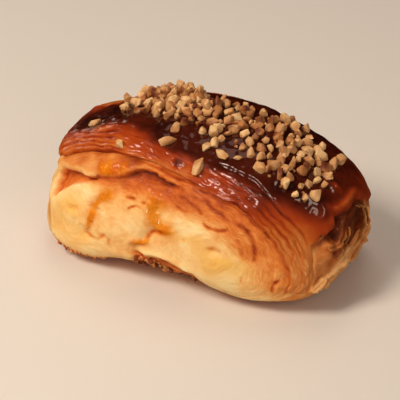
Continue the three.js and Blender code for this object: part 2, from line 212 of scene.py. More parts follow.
def gridQuads(grid):        # the cells of a grid of numbers
    return np.stack([grid[:-1, :-1], grid[:-1, 1:], grid[1:, 1:], grid[1:, :-1]], -1).reshape(-1, 4)


def loopQuads(grid):        # the same for a grid whose rows close
    after = np.roll(grid, -1, axis=1)
    return np.stack([grid[:-1], grid[1:], after[1:], after[:-1]], -1).reshape(-1, 4)


# The roll that all pieces follow: angle goes round its outline, reach from the front's middle to the back's

roll = {
    "length": 106, "depth": 61, "height": 47.4, "centre": (-0.4, -0.1, 15.5),
    "cornerPowers": (2.1, 2.34, 4.5, 2.75), "cornerSpread": 0.6, "rimTop": 3.0, "rimBottom": 4.1,
    "lean": 0.077, "flattened": 1.2,
    "liftFront": 5.5, "liftBack": 3.6, "liftX": -4.5, "liftHalfWidth": 22.8, "liftFrom": 13, "liftZone": 15,
}
hood = {        # the crust's edge, in degrees of reach, and the angles between which it lies
    "angle": 37, "leftClimb": 27, "climb": (65, 152), "drop": (165, 215),
    "rightEnd": -20, "rightFade": 14, "leftEnd": 158, "leftFade": 6,
    "waveHeight": 0.55, "waves": [(7, 20, 1), (13, 70, 0.7), (31, 0, 0.6)],        # how often, start, size
}
rimBand = {"width": 18, "widthAtTop": 25, "climb": (42, 68), "depth": 0.6, "leftEnd": 84, "leftFade": 16}
skinRight = {        # reaches, the angles at which the glazed skin ends there, and how it is frayed
    "reaches": [50, 55, 61, 68, 74, 80, 86, 92, 96, 104, 114, 121, 129],
    "angles": [-22, 17, 19, 20.5, 21.5, 25, 24, 22.5, 19, 14.5, 9, 4, -22],
    "fray": [(0.4, 1, 0.7), (0.9, 0, 0.4)], "frayFrom": (54, 60), "frayTo": (124, 116),
}
skinLeft = {
    "reaches": [50, 62, 71, 82, 92, 104, 116, 130],
    "angles": [149, 151, 156, 160, 161, 160, 155, 150],
    "fray": [(0.37, 0, 0.9), (0.83, 1, 0.6)], "frayFrom": (56, 64), "frayTo": (124, 116),
}
swelling = {        # angles round the roll, and how far its ends stand out there or lie back
    "angles": [-34, -27, -19, -8, 0, 8, 14, 22, 30, 38, 46,
               116, 126, 136, 142, 146, 150, 154, 158, 162, 168, 174, 184],
    "heights": [0, -0.9, -0.9, -1.3, -1.1, 0.3, 0.9, 1.3, 1.1, 0.7, 0,
                0, -0.5, -0.6, 0, 0.9, 1.8, 2, 1.1, -0.9, -1.3, -1.2, 0],
    "fade": (48, 70),        # reaches between which a swelling starts
}
perDegree = 0.5        # millimetres of surface for a degree of reach
aroundDegree = 0.42        # and for a degree round the right end


def cornerPower(angle):        # how square the outline is, from the powers of its four corners
    weights = [bell(np.radians(turn(angle - 45 - 90 * k)), roll["cornerSpread"]) for k in range(4)]
    return sum(w * p for w, p in zip(weights, roll["cornerPowers"])) / sum(weights)


def halfLength(across):
    return roll["length"] / 2 - np.where(across > 0, 1, -1) * roll["centre"][0]


def halfHeight(up):
    middle = roll["centre"][2]
    return np.where(up > 0, roll["height"] - middle, middle + roll["flattened"])


def rimRoundness(angle):
    below = softStep(0.35, -0.35, np.sin(np.radians(angle)))
    return 2 / blend(roll["rimTop"], roll["rimBottom"], below)


def liftShare(x):        # how much of the lower edges' lift is felt along the length
    return np.exp(-((x - roll["liftX"]) / roll["liftHalfWidth"]) ** 4)


def rollPoint(angle, reach):
    across, up = np.cos(np.radians(angle)), np.sin(np.radians(angle))
    corner, rim = 2 / cornerPower(angle), rimRoundness(angle)
    cx, cy, cz = roll["centre"]
    radius = np.abs(np.sin(np.radians(reach))) ** rim
    x = cx + radius * halfLength(across) * signedPower(across, corner)
    flatZ = cz + radius * halfHeight(up) * signedPower(up, corner)
    y = cy - signedPower(np.cos(np.radians(reach)), rim) * roll["depth"] / 2 + roll["lean"] * (flatZ - cz)
    face = roll["depth"] / 2 - 1
    front = roll["liftFront"] * softStep(-roll["liftFrom"], -face, y)
    back = roll["liftBack"] * softStep(roll["liftFrom"], face, y)
    zone = roll["liftZone"]
    z = np.where(flatZ < zone, zone - (zone - flatZ) * (1 - liftShare(x) * (front + back) / zone), flatZ)
    return np.stack([x, y, np.maximum(z, 0)], -1)


def rollNormal(angle, reach):
    reach = np.clip(reach, 3, 177)
    along = rollPoint(angle, reach + 1) - rollPoint(angle, reach - 1)
    around = rollPoint(angle + 1, reach) - rollPoint(angle - 1, reach)
    normal = np.cross(along, around)
    return normal / np.maximum(np.linalg.norm(normal, axis=-1, keepdims=True), 1e-9)


def endSwell(angle, reach):
    a = turn(angle)
    heights = np.interp(np.where(a < -90, a + 360, a), swelling["angles"], swelling["heights"])
    return heights * softStep(*swelling["fade"], np.minimum(reach, 180 - reach))


def pastRightEnd(a):        # 1 on the hood, fading out below its right end
    return softStep(hood["rightEnd"] - hood["rightFade"], hood["rightEnd"], a)


def hoodAngle(angle):        # where the crust's edge lies, as a reach from a face's middle
    a = turn(angle)
    left = softStep(*hood["climb"], a) + (a < -90)
    lower = softStep(*hood["drop"], np.where(a < -90, a + 360, a))
    wave = sum(size * np.sin(np.radians(often * a + start)) for often, start, size in hood["waves"])
    end, fade = hood["leftEnd"], hood["leftFade"]
    onHood = pastRightEnd(a) * softStep(end + fade, end - fade, a)
    return hood["angle"] + hood["leftClimb"] * left * (1 - lower) + hood["waveHeight"] * wave * onHood


def bandWidth(angle):
    return blend(rimBand["width"], rimBand["widthAtTop"], softStep(*rimBand["climb"], turn(angle)))


def bandShare(angle):
    a = turn(angle)
    end = rimBand["leftEnd"]
    return pastRightEnd(a) * softStep(end, end - rimBand["leftFade"], a)


def beyondHood(angle, reach):        # degrees past the crust's edge, below zero on a face
    return np.minimum(reach, 180 - reach) - hoodAngle(angle)


def crustEnd(skin, reach):        # the angle at which the glazed skin ends
    frayed = sum(size * np.sin(often * reach + start) for often, start, size in skin["fray"])
    torn = frayed * softStep(*skin["frayFrom"], reach) * softStep(*skin["frayTo"], reach)
    return np.interp(reach, skin["reaches"], skin["angles"]) + torn


def outsideCrust(angle, reach):        # millimetres outside the crust's border, below zero under the crust
    a = turn(angle)
    a = np.where(a < -110, a + 360, a)
    front = -perDegree * beyondHood(angle, reach)
    right = aroundDegree * (crustEnd(skinRight, reach) - a)
    left = aroundDegree * (a - crustEnd(skinLeft, reach))
    return np.maximum(front, np.maximum(right, left))


def lumps(spots):        # the broad unevenness of the crown
    return 0.4 * np.sin(spots[..., 0] / 13 + 1.1) * np.sin(spots[..., 1] / 13 + spots[..., 0] / 31 + 0.6)


def grounded(points, normals, height):        # moves points out, less and less towards the flat base
    moved = points + normals * (height * softStep(0.3, 4, points[..., 2]))[..., None]
    moved[..., 2] = np.maximum(moved[..., 2], 0)
    return moved


def meshPiece(name, points, faces, masks, material):
    mesh = bpy.data.meshes.new(name)
    mesh.from_pydata((np.asarray(points) * unit).tolist(), [], faces)
    for mask, values in masks.items():
        layer = mesh.attributes.new(mask, "FLOAT", "POINT")
        layer.data.foreach_set("value", np.asarray(values, np.float32))
    mesh.shade_smooth()
    mesh.materials.append(material)
    piece = bpy.data.objects.new(name, mesh)
    scene.collection.objects.link(piece)
    return piece


def hold(piece, slot, *nodes):
    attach(piece, body)
    if nodes:
        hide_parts(*nodes)


# Dough: both faces with their lobes and folds, the flank and the underside

dough = {
    "cellsAcross": 220, "cellsUp": 110, "rows": 70, "rimShare": 0.985,
    "sunk": 1.5, "recess": 1.0, "recessFade": 3.5,        # under the crust, and just outside its edge
    "faceEdge": (9, -2),        # degrees beyond the crust's edge between which a face starts
    "edgeLayers": 0.31, "lobeLayers": 0.13, "coarse": 0.26, "fine": 0.1,        # heights of the relief
    "seamWidth": 2.3, "jellyHeight": 0.6, "whorlMerge": 3.2,
}
dough["folds"] = {        # strokes on a face, in X and Z, each from left to right
    "lip": [
        (-46.7, 19.5), (-46.8, 21.9), (-46.1, 26.6), (-43.8, 29.7), (-40, 31.1), (-36, 32.3), (-32.6, 32.6),
        (-28.2, 33.7), (-24.2, 34.7), (-19.9, 36.2), (-17, 38.1), (-12.9, 39.8), (-9.2, 39.7), (-5.3, 39),
        (1, 38),
    ],
    "leftLobe": [(-47, 19.5), (-45.3, 21.4), (-41.7, 24.8), (-37, 28.4), (-32.1, 31), (-28.5, 33.3)],
    "notch": [(-15, 12.2), (-12.4, 13), (-8.2, 12.9), (-2.4, 13.4), (1.5, 12.6), (9.7, 9.6), (16, 5)],
}
dough["lip"] = {        # the second layer's edge, with a pocket under its left end and a hollow further on
    "ridge": 0.6, "end": (3, -2), "softX": -23, "softHalfWidth": 7.5, "softShare": 0.75, "step": 0.45,
    "pocketDepth": 3.0, "pocketEdge": (-1.1, 0.9), "pocketEnd": (-26.5, -31),
    "hollowDepth": 2.3, "hollowX": -9.5, "hollowHalfWidth": 10.5, "hollowFade": 4.2,
}
dough["notch"] = {        # the gap between the lobes at the base, under a rounded brow
    "edge": (-0.2, 1.6), "left": (-15, -11), "right": (13, 5), "low": (0.5, 3), "undercut": 1.3,
    "brow": 0.45, "browLeft": (-14, -10), "browRight": (14, 6),
}
dough["seams"] = [        # grooves that part the lobes: strokes and depth
    ([(-22.6, 29.4), (-26.7, 26.2), (-28.3, 23.2), (-29.3, 20.5), (-30.2, 17.5), (-30.7, 13.9)], 1.1),
    ([(-5, 31), (-5.4, 29.1), (-5.1, 26.7), (-4.4, 25.1), (-6.5, 21.2), (-9.4, 17.4), (-12, 13.6)], 1.2),
]
dough["cracks"] = [        # thin browned lines on a face: stroke, width, how much darker
    ([(6.9, 35.7), (10.1, 35.3), (13.8, 33.3), (17.8, 31.6), (22.9, 29.9), (25.7, 28), (27.4, 25.4),
      (28.5, 20.3)], 0.7, 0.26),
    ([(-16, 30.9), (-13.1, 30.9), (-9.9, 30.6)], 0.55, 0.36),
    ([(-15.5, 27.5), (-12.5, 28.5), (-9.7, 28.1)], 0.5, 0.26),
    ([(-31.3, 13.6), (-26.4, 13.4), (-23.2, 15.5)], 0.6, 0.26), ([(-21.6, 14.9), (-22, 12.5)], 0.45, 0.22),
    ([(1.8, 35.1), (5, 34.5), (9.8, 31.8)], 0.55, 0.3), ([(0.9, 31.8), (4.5, 31.6)], 0.5, 0.25),
    ([(11.1, 29), (13.8, 27.9), (18.2, 28)], 0.6, 0.28),
    ([(-40.7, 18.6), (-37.6, 20.4), (-34.6, 21.5)], 0.7, 0.26),
    ([(4.3, 22.1), (5.1, 21.5)], 0.45, 0.4), ([(22.7, 25.3), (23.9, 23), (24.9, 19.6)], 0.7, 0.16),
    ([(25.3, 13.7), (25, 12.3)], 0.4, 0.22), ([(36.4, 13.6), (35.1, 10.4)], 0.6, 0.4),
    ([(13.3, 20.6), (15.2, 21.5), (17.1, 21)], 0.8, 0.24),
    ([(-8.2, 18.1), (-6.5, 21.2), (-2.7, 22.5)], 0.65, 0.42),
    ([(-28.5, 33.6), (-24.2, 34.6), (-19.9, 36)], 0.6, 0.3),
]
dough["lobes"] = [        # X, Z, half sizes, height: three swollen lobes, two pits and a drop of caramel
    (-20.5, 20.5, 9.5, 8, 1.1), (-39, 16.5, 8.5, 10.5, 1.0), (15, 17, 19, 11, 1.1),
    (15.3, 20, 2.6, 1.2, -0.9), (-37, 20.6, 2.6, 1, -0.6), (15.6, 35.3, 1.7, 1.3, 0.7),
]
dough["jelly"] = [        # orange jelly that has oozed out between the layers: stroke and half width
    ([(-23, 29.3), (-26.7, 26.2), (-28.2, 23.8)], 2.2), ([(-29.1, 20.8), (-29.7, 18.8), (-30.3, 16)], 1.3),
    ([(-5.6, 31.7), (-6.6, 28.9), (-6.2, 26.5), (-5, 25), (-1.4, 24.2)], 3.2),
    ([(-13, 15.5), (-10.9, 16.1), (-8.8, 16.8)], 1.3), ([(-27, 36.4), (-23.4, 37), (-20, 37.8)], 1.7),
]
dough["cream"] = [        # yellow cream soaked into the dough: stroke and half width
    ([(-0.6, 23.4), (4.3, 22.4), (9.1, 22.7), (13.1, 20.8)], 1.7),
    ([(9.2, 19.8), (13.4, 16.9), (19.3, 17.2)], 2.2),
    ([(14, 14), (19.6, 15.2), (25, 16.2)], 3.6), ([(-41, 19.5), (-38, 22), (-33.5, 22.6)], 2.4),
    ([(-33, 15.5), (-31, 12.5)], 2.2), ([(-43, 14.5), (-36, 11)], 4.5),
]
dough["whorls"] = [        # middles of the rolled layers, and how stretched they are
    (-20.5, 20, 1.2), (-38, 18, 0.9), (15, 17, 1.9),
]


def strokeMask(strokes, x, z):
    return sum(bell(strokeDistance(spline(points, 24), x, z), width) for points, width in strokes)


def faceFolds(spots):        # relief of a face, and the shares of its pocket, hollow, notch, cracks and lip
    lip, notch = dough["lip"], dough["notch"]
    x = spots[..., 0] + 0.5 * ripple(spots, 4, 31) + 0.25 * ripple(spots, 1.4, 32)
    z = spots[..., 2] + 0.5 * ripple(spots, 4, 33) + 0.25 * ripple(spots, 1.4, 34)
    gaps = {name: strokeDistance(spline(points, 60), x, z) for name, points in dough["folds"].items()}
    height = sum(high * oval(x, z, spot) for *spot, high in dough["lobes"])
    for points, depth in dough["seams"]:
        height -= depth * bell(strokeDistance(spline(points), x, z), dough["seamWidth"])
    cracked, broken = np.zeros(x.shape), np.clip(0.75 + 0.9 * ripple(spots, 2.4, 35), 0, 1.2)
    for points, width, dark in dough["cracks"]:
        cracked = np.maximum(cracked, dark * bell(strokeDistance(spline(points, 30), x, z), width) * broken)
    height -= cracked

    # the lip is sharp at both ends and a soft crease in its middle
    under = -gaps["lip"]
    below = softStep(0, lip["step"], under)
    pocket = below * softStep(*lip["pocketEdge"], gaps["leftLobe"]) * softStep(*lip["pocketEnd"], x)
    hollow = below * bell(under, lip["hollowFade"])
    hollow = hollow * np.exp(-((x - lip["hollowX"]) / lip["hollowHalfWidth"]) ** 6)
    soft = np.exp(-((x - lip["softX"]) / lip["softHalfWidth"]) ** 4)
    onLip = softStep(*lip["end"], x) * (1 - lip["softShare"] * soft)
    height += lip["ridge"] * onLip * bell(under + 1, 1.1)
    height -= lip["pocketDepth"] * pocket + lip["hollowDepth"] * hollow

    inNotch = softStep(*notch["edge"], -gaps["notch"]) * softStep(*notch["left"], x)
    inNotch = inNotch * softStep(*notch["right"], x) * softStep(*notch["low"], z)
    brow = notch["brow"] * bell(gaps["notch"] - 0.5, 1)
    height += brow * softStep(*notch["browLeft"], x) * softStep(*notch["browRight"], x)
    height -= inNotch * (notch["undercut"] + 0.7 * ripple(spots, 1.8, 36) + 0.5 * ripple(spots, 0.9, 37))
    shares = {
        "pocket": pocket, "hollow": hollow, "notch": inNotch, "cracks": cracked,
        "lipHighlight": onLip * bell(under + 0.5, 0.5), "under": under, "x": x, "z": z,
    }
    return height, shares


def layerDepth(spots, inside):        # how far out a place lies in the rolled layers, in millimetres
    x, z = spots[..., 0], spots[..., 2]
    rounds = [np.hypot((x - cx) / wide, z - cz) for cx, cz, wide in dough["whorls"]]
    merge = dough["whorlMerge"]        # millimetres over which whorls run into each other
    nearest = -merge * np.log(sum(np.exp(-far / merge) for far in rounds))
    return blend(nearest, 30 - inside, softStep(12, 5, inside))


dough["flankLines"] = {        # on the torn right end: strokes of angles round the roll and reaches
    "backLip": {"stroke": [(17, 101.5), (6, 95.1), (-4.5, 91.5), (-13, 89)],
                "width": 0.9, "height": 0.6, "tone": -0.3},
    # the pit's darker tone is painted shade in its groove
    "pit": {"stroke": [(15, 91), (9, 90.2), (4, 89.6)], "width": 1, "height": -1.6, "tone": 0.25},
    "lowLip": {"stroke": [(3, 84), (2.5, 77), (0.5, 72.2), (-2.5, 66.1), (-10, 57.5), (-16, 53)],
               "width": 0.7, "height": 0.8, "tone": -0.22},
    "fold": {"stroke": [(20, 84), (13, 78), (11, 71), (14, 64)],
             "width": 0.8, "height": 0.7, "tone": -0.24},
}
dough["flank"] = {        # where the torn end lies, then heights and tones of what shows there
    "front": (51, 57), "back": (133, 120), "low": (-62, -35), "high": (60, 40),
    "pillow": (-11.5, 3.4, 5, 3.2), "smallPillow": (-8.3, 1.6, 3.5, 1.8), "smallShare": 0.8,
    "shadow": (-2, 3, 4.5, 4), "cavityFront": (62, 74), "cavityBack": (114, 104),
    "cavityDepth": 1.7, "pillowHeight": 0.9, "raggedDepth": 1.1, "layerHeight": 0.3, "frontDepth": 1.2,
    "strandHeight": 0.3,
    "outerTone": 0.27, "tornTone": 0.52, "brownTone": 0.42, "cavityShadeTone": 0.22, "shadowTone": 0.16,
    "layerTone": -0.08, "pillowTone": -0.18, "strandTone": -0.26,
}


def tornFlank(spots, a, reach, outside):        # share, height, tone and depth of the torn layers
    flank, lines = dough["flank"], dough["flankLines"]
    share = softStep(*flank["front"], reach) * softStep(*flank["back"], reach)
    share = share * softStep(*flank["low"], a) * softStep(*flank["high"], a)
    u = (reach - 90) * perDegree + 0.7 * ripple(spots, 4.5, 51) + 0.3 * ripple(spots, 1.5, 52)
    w = a * aroundDegree + 0.7 * ripple(spots, 4.5, 53) + 0.3 * ripple(spots, 1.5, 54)
    near, high, shade = {}, {}, {}
    for name, line in lines.items():
        flat = [((far - 90) * perDegree, around * aroundDegree) for around, far in line["stroke"]]
        near[name] = strokeDistance(spline(flat), u, w)
        mark = bell(near[name], line["width"])
        high[name], shade[name] = line["height"] * mark, line["tone"] * mark
    above = -near["lowLip"]        # millimetres above the lower lip
    torn = softStep(-0.3, 0.7, above) * softStep(-22, -14, u)
    brown = torn * softStep(-13.5, -8, u + 0.35 * w) * softStep(9, 3, u)
    layers = grain(0.8 * above + 0.6 * ripple(spots, 4, 55), spots, 0.9, 5, 56)
    ragged = softStep(-0.1, 0.5, ripple(spots, 3, 57))
    inward = 1 - bell(near["backLip"], lines["backLip"]["width"])
    cavity = softStep(0, 0.6, outside) * bell(outside, 3)
    cavity = cavity * softStep(*flank["cavityFront"], reach) * softStep(*flank["cavityBack"], reach)
    pillow = np.maximum(oval(u, w, flank["pillow"]), flank["smallShare"] * oval(u, w, flank["smallPillow"]))
    strands = bell(grain(1.1 * above + 0.8 * ripple(spots, 3, 58), spots, 1.1, 4, 59), 0.16)
    strands *= torn * np.clip(0.4 + ripple(spots, 3, 60), 0, 1) * (1 - pillow)

    height = high["lowLip"] + high["backLip"] + high["pit"] * inward + high["fold"] * torn
    height -= flank["cavityDepth"] * cavity
    raised = flank["pillowHeight"] * pillow - flank["raggedDepth"] * brown * ragged * inward
    height += raised + flank["layerHeight"] * layers * (1 - pillow)
    sunken = flank["frontDepth"] * torn * softStep(1, -5, u) * (1 - 0.7 * pillow)
    height -= sunken - flank["strandHeight"] * strands
    tone = blend(flank["outerTone"], flank["tornTone"], torn)
    tone = tone + flank["brownTone"] * brown * (0.5 + 0.5 * ragged)
    # painted shade in the pit's groove and painted shadow in the cavity under the shell
    tone = tone + shade["pit"] + flank["cavityShadeTone"] * cavity
    tone += flank["shadowTone"] * oval(u, w, flank["shadow"]) * torn
    paler = shade["lowLip"] + shade["backLip"] + shade["fold"] * torn + flank["layerTone"] * layers
    tone += paler + flank["pillowTone"] * pillow + flank["strandTone"] * strands
    return share, height, tone, 0.8 * above


dough["browning"] = {        # how browned the dough is, from 0 to 1, with painted shade and a painted highlight round the lip
    "pale": 0.1, "leftEdge": 0.26, "aside": 0.36, "leftEnd": 0.14, "base": 0.36, "crumbly": 0.55,
    "second": ([0, 2, 6], [0.6, 0.53, 0.44]),        # above the lip, by millimetres inside the crust's edge
    "underLipShade": ([-36, -30, -20, -13], [0.4, 0.46, 0.52, 0.74]),        # painted shade just under the lip, by X
    "underLipShadeDepth": ([-36, -28, -18, -8], [1.5, 3, 5.5, 8.5]),        # how far down that painted shade reaches
    "right": ([0, 0.8, 3, 8, 11, 14.5], [0.82, 0.57, 0.49, 0.39, 0.18, 0.1]),        # right lobe
    "pocket": ([0, 4], [0.66, 0.48]),        # painted shade in the pocket, darkest under the lip, by millimetres under it
    # the hollow's tone is painted shade under the lip, and the lip's edge is paled as a painted highlight
    "hollow": 0.95, "crackGain": 1.6, "crackTo": 1.1, "lipHighlight": 0.2, "paler": 0.1, "caramel": 0.14,
    "spots": [((-1, 34, 11, 5), 0.22), ((-20.5, 20.5, 9, 8), 0.06)],        # X, Z, half sizes, how dark
    "paleSpots": [(6, 26.6, 6, 2.4), (15.6, 29.4, 2, 1.2), (12, 12, 9, 4)],
    "caramelSpot": (15.6, 35.3, 2, 1.6),
}


def doughTone(spots, a, beyond, onFace, shares, ripples):
    browning = dough["browning"]
    x, z, under, pale = shares["x"], shares["z"], shares["under"], browning["pale"]
    inside = -beyond * perDegree
    second = np.interp(inside, *browning["second"]) + 0.14 * ripple(spots, 4, 45)
    second = blend(browning["leftEdge"], second + 0.12 * softStep(-26, -14, x), softStep(-46, -42, x))
    # painted shade under the lip, darkest at its edge and fading downwards
    underLipShaded = np.interp(x, *browning["underLipShade"]) * softStep(-40, -30, x)
    underLipShade = pale + underLipShaded * bell(np.maximum(under, 0), np.interp(x, *browning["underLipShadeDepth"]))
    left = blend(underLipShade, second, softStep(0.3, -0.3, under))
    right = np.interp(inside, *browning["right"])
    right = pale + (right - pale) * softStep(-46, -20, a) * blend(0.5, 1, softStep(-12, 24, a))
    tone = onFace * blend(left, right, softStep(-17, -4, x))
    tone += sum(dark * onFace * oval(x, z, spot) for spot, dark in browning["spots"])
    # painted shade in the hollow and the pocket under the lip
    hollow = browning["hollow"] * np.sqrt(shares["hollow"]) * bell(under, 5)
    tone = np.maximum(tone, onFace * (np.interp(under, *browning["pocket"]) * shares["pocket"] + hollow))
    # a painted highlight along the lip's edge
    tone -= browning["lipHighlight"] * onFace * shares["lipHighlight"]
    tone += browning["caramel"] * onFace * oval(x, z, browning["caramelSpot"])
    tone -= browning["paler"] * onFace * sum(oval(x, z, spot) for spot in browning["paleSpots"])
    tone += browning["crackGain"] * onFace * shares["cracks"] * (browning["crackTo"] - tone)
    crumbly = browning["crumbly"] + 0.3 * ripple(spots, 1.3, 46)
    tone = blend(tone, crumbly, onFace * shares["notch"])
    aside = softStep(0, 9, beyond)        # round the ends and under the base
    leftEnd = softStep(100, 140, np.abs(a)) * softStep(4, 10, z)
    tone = np.maximum(tone, aside * blend(browning["aside"], browning["leftEnd"], leftEnd))
    tone += browning["base"] * softStep(2.6, 0.2, spots[..., 2] + 1.1 * ripple(spots, 2.5, 43))
    return tone + 0.08 * ripple(spots, 7, 41) + 0.07 * ripple(spots, 2.6, 42) + ripples


def doughSurface(angle, reach):
    spots = rollPoint(angle, reach)
    a = turn(angle)
    beyond = beyondHood(angle, reach)
    inside = -beyond * perDegree
    outside = outsideCrust(angle, reach)
    onFace = softStep(*dough["faceEdge"], beyond)
    height, shares = faceFolds(spots)
    height = height * onFace
    recess = dough["recess"] * np.exp(-np.maximum(outside, 0) / dough["recessFade"])
    height -= np.where(outside < 0, dough["sunk"], recess)

    # jelly stands a little proud of the seams it has oozed from
    x, z = shares["x"], shares["z"]
    ooze = np.clip(1 + 0.5 * ripple(spots, 2.6, 44) + 0.25 * ripple(spots, 1.1, 48), 0, 1.3)
    jelly = onFace * strokeMask(dough["jelly"], x, z) * ooze
    height += dough["jellyHeight"] * jelly

    # thin layers, boldest in the flaky band below the crust's edge, and short fibres everywhere
    depth = layerDepth(spots, inside) + 1.1 * ripple(spots, 7, 3) + 0.5 * ripple(spots, 2.6, 4)
    long, short = grain(depth, spots, 1.6, 11, 5), grain(depth, spots, 0.75, 3.2, 6)
    fine = grain(depth + 0.5 * ripple(spots, 1.5, 8), spots, 0.5, 1.7, 9)
    wisps = bell(long + 0.5 * short, 0.13) * np.clip(0.2 + ripple(spots, 5, 7), 0, 1)
    edge = softStep(14, 4, inside) * softStep(-22, -4, spots[..., 0])
    flaky = blend(dough["lobeLayers"], dough["edgeLayers"], np.maximum(edge, 0.6 * softStep(2, 12, beyond)))
    height += flaky * (0.35 * long + 0.5 * short + 0.3 * fine - 0.6 * wisps)
    ripples = flaky * (0.3 * wisps - 0.1 * long - 0.24 * short - 0.18 * fine)

    torn, tornHeight, tornTone, tornDepth = tornFlank(spots, a, reach, outside)
    height = blend(height, height + tornHeight, torn)
    uneven = dough["coarse"] * ripple(spots, 7, 1) + dough["fine"] * ripple(spots, 1.7, 2)
    height += uneven + endSwell(angle, reach)
    points = grounded(spots, rollNormal(angle, reach), height)

    onFlank = torn * softStep(6, 14, beyond)
    tone = blend(doughTone(spots, a, beyond, onFace, shares, ripples), tornTone, onFlank)
    dry = np.maximum(onFlank, 0.5 * onFace * softStep(0.3, -0.3, shares["under"]) * softStep(-6, -18, x))
    cream = strokeMask(dough["cream"], x, z) * (0.8 + 0.5 * ripple(spots, 4, 47))
    masks = {
        "tone": np.clip(tone, 0, 1), "jelly": np.clip(jelly, 0, 1), "cream": np.clip(cream * onFace, 0, 1),
        "layers": blend(depth, tornDepth, torn > 0.5), "dry": dry,
    }
    return points, masks


def facePlace(angle):        # the rim of a face, flat, before its lower edge is lifted
    radius = np.sin(np.radians(dough["rimShare"] * hoodAngle(angle))) ** rimRoundness(angle)
    corner = 2 / cornerPower(angle)
    across, up = np.cos(np.radians(angle)), np.sin(np.radians(angle))
    return np.stack([
        radius * halfLength(across) * signedPower(across, corner),
        radius * halfHeight(up) * signedPower(up, corner),
    ], -1)


def faceAngles(flat):        # the angle and reach of the roll that give a flat place on a face
    across, up = flat[..., 0] / halfLength(flat[..., 0]), flat[..., 1] / halfHeight(flat[..., 1])
    angle = np.degrees(np.arctan2(up, across))
    for _ in range(9):        # the corner's power depends on the angle, so it is closed in on
        power = cornerPower(angle)
        angle = np.degrees(np.arctan2(signedPower(up, power / 2), signedPower(across, power / 2)))
    radius = (np.abs(across) ** power + np.abs(up) ** power) ** (1 / power)
    return angle, np.degrees(np.arcsin(np.clip(radius ** (1 / rimRoundness(angle)), 0, 1)))


def faceGrid(cells, high):        # flat places of a face's grid, stretched between the sides of its rim
    step = 360 / (2 * (cells + high))
    corner = 90 * high / (cells + high)
    i, k = np.arange(cells + 1), np.arange(high + 1)
    bottom, top = facePlace(180 + corner + i * step)[None], facePlace(180 - corner - i * step)[None]
    left, right = facePlace(180 + corner - k * step)[:, None], facePlace(-corner + k * step)[:, None]
    u, w = (i / cells)[None, :, None], (k / high)[:, None, None]
    sides = (1 - w) * bottom + w * top + (1 - u) * left + u * right
    lower = (1 - u) * (1 - w) * bottom[:, :1] + u * (1 - w) * bottom[:, -1:]
    return sides - (lower + (1 - u) * w * top[:, :1] + u * w * top[:, -1:])


def makeDough(material):
    cells, high, rows = dough["cellsAcross"], dough["cellsUp"], dough["rows"]
    columns = 2 * (cells + high)
    angle = 360 * np.arange(columns) / columns
    rim = dough["rimShare"] * hoodAngle(angle)
    share = np.linspace(0, 1, rows)[:, None]
    ringReach = rim + share * (180 - 2 * rim)
    ringAngle = np.broadcast_to(angle, ringReach.shape)
    faceAngle, faceReach = faceAngles(faceGrid(cells, high)[1:-1, 1:-1])
    angles = np.concatenate([ringAngle.ravel(), faceAngle.ravel(), faceAngle.ravel()])
    reaches = np.concatenate([ringReach.ravel(), faceReach.ravel(), 180 - faceReach.ravel()])
    points, masks = doughSurface(angles, reaches)

    ring = np.arange(rows * columns).reshape(rows, columns)
    quads = [loopQuads(ring)]
    inner = np.arange(faceAngle.size).reshape(faceAngle.shape) + rows * columns
    first = columns - high // 2        # the rim's column at the lower right corner of a face
    for rimRow, vertices, flip in ((ring[0], inner, False), (ring[-1], inner + faceAngle.size, True)):
        rim = np.roll(rimRow, -first)
        grid = np.empty((high + 1, cells + 1), int)
        grid[1:-1, 1:-1] = vertices
        grid[:, -1] = rim[:high + 1]
        grid[-1, ::-1] = rim[high:high + cells + 1]
        grid[::-1, 0] = rim[high + cells:2 * high + cells + 1]
        grid[0] = np.append(rim[2 * high + cells:], rim[0])
        quads.append(gridQuads(grid)[:, ::-1] if flip else gridQuads(grid))
    piece = meshPiece("dough", points, np.concatenate(quads).tolist(), masks, material)
    print("dough", len(points), "points")
    return piece


# Crust: the glazed outer layers, a shell with a rounded edge all round that dips into the dough

crust = {
    "columns": 500, "rows": 180, "crowding": 0.35, "thickness": 1.1, "inner": 2.6,
    "innerColumns": 72, "innerRows": 26, "innerAlong": (0.006, 0.994), "innerAcross": (0.012, 0.988),
    "bandHeight": 0.34, "frontHeight": 0.42, "glazeWaves": 0.26, "leftSwell": 0.7,
}
crust["glazeLimit"] = (        # angles, and how far beyond the crust's edge the dark glaze starts there
    [-20, 18, 25, 32, 38, 45, 55, 63, 75, 88, 104, 126, 140, 158],
    [56, 42, 37, 31, 27, 23, 20, 21, 21, 17, 21, 25, 18, 19],
)
crust["layerEdges"] = [        # degrees beyond the crust's edge, width, how dark
    (3.6, 0.4, 0.14), (7.5, 0.5, 0.2), (12, 0.45, 0.16), (17.2, 0.6, 0.26),
]
crust["fold"] = {        # a fold in the glaze with a painted highlight along its ridge: its reaches, the angles there, and where it fades
    "reaches": [80, 84, 89, 95, 100], "angles": [29, 27.5, 26.6, 27, 29],
    "front": (79, 84), "back": (98, 91), "width": 0.75, "height": 0.5, "tone": -0.25,
}
crust["blisters"] = [        # X, Y, width, height, how much darker
    (43.8, 0.5, 1.7, 0.8, -0.2), (-2.1, -19.8, 1.4, 0.5, 0.5), (36, -16, 2.4, 0.4, 0),
    (27, -21, 2, 0.4, 0.1),
]
crust["tones"] = {        # from pale tan, 0, to nearly black, 1
    "plain": 0.45, "nearGlaze": 0.14, "tan": -0.37, "patches": -0.1, "left": -0.18, "band": 0.04,
    "bandRight": -0.13, "edge": 0.24, "glaze": 0.93, "thinGlaze": 0.77, "rim": 0.5, "rimShare": 0.6,
}


def crustPlace(u, w):        # the angle and reach of a place along and across the crust, from 0 to 1
    start = blend(hood["rightEnd"] - 2, hood["leftEnd"], u)
    edge = hoodAngle(start)
    reach = edge + w * (180 - 2 * edge)
    return blend(crustEnd(skinRight, reach), crustEnd(skinLeft, reach), u), reach


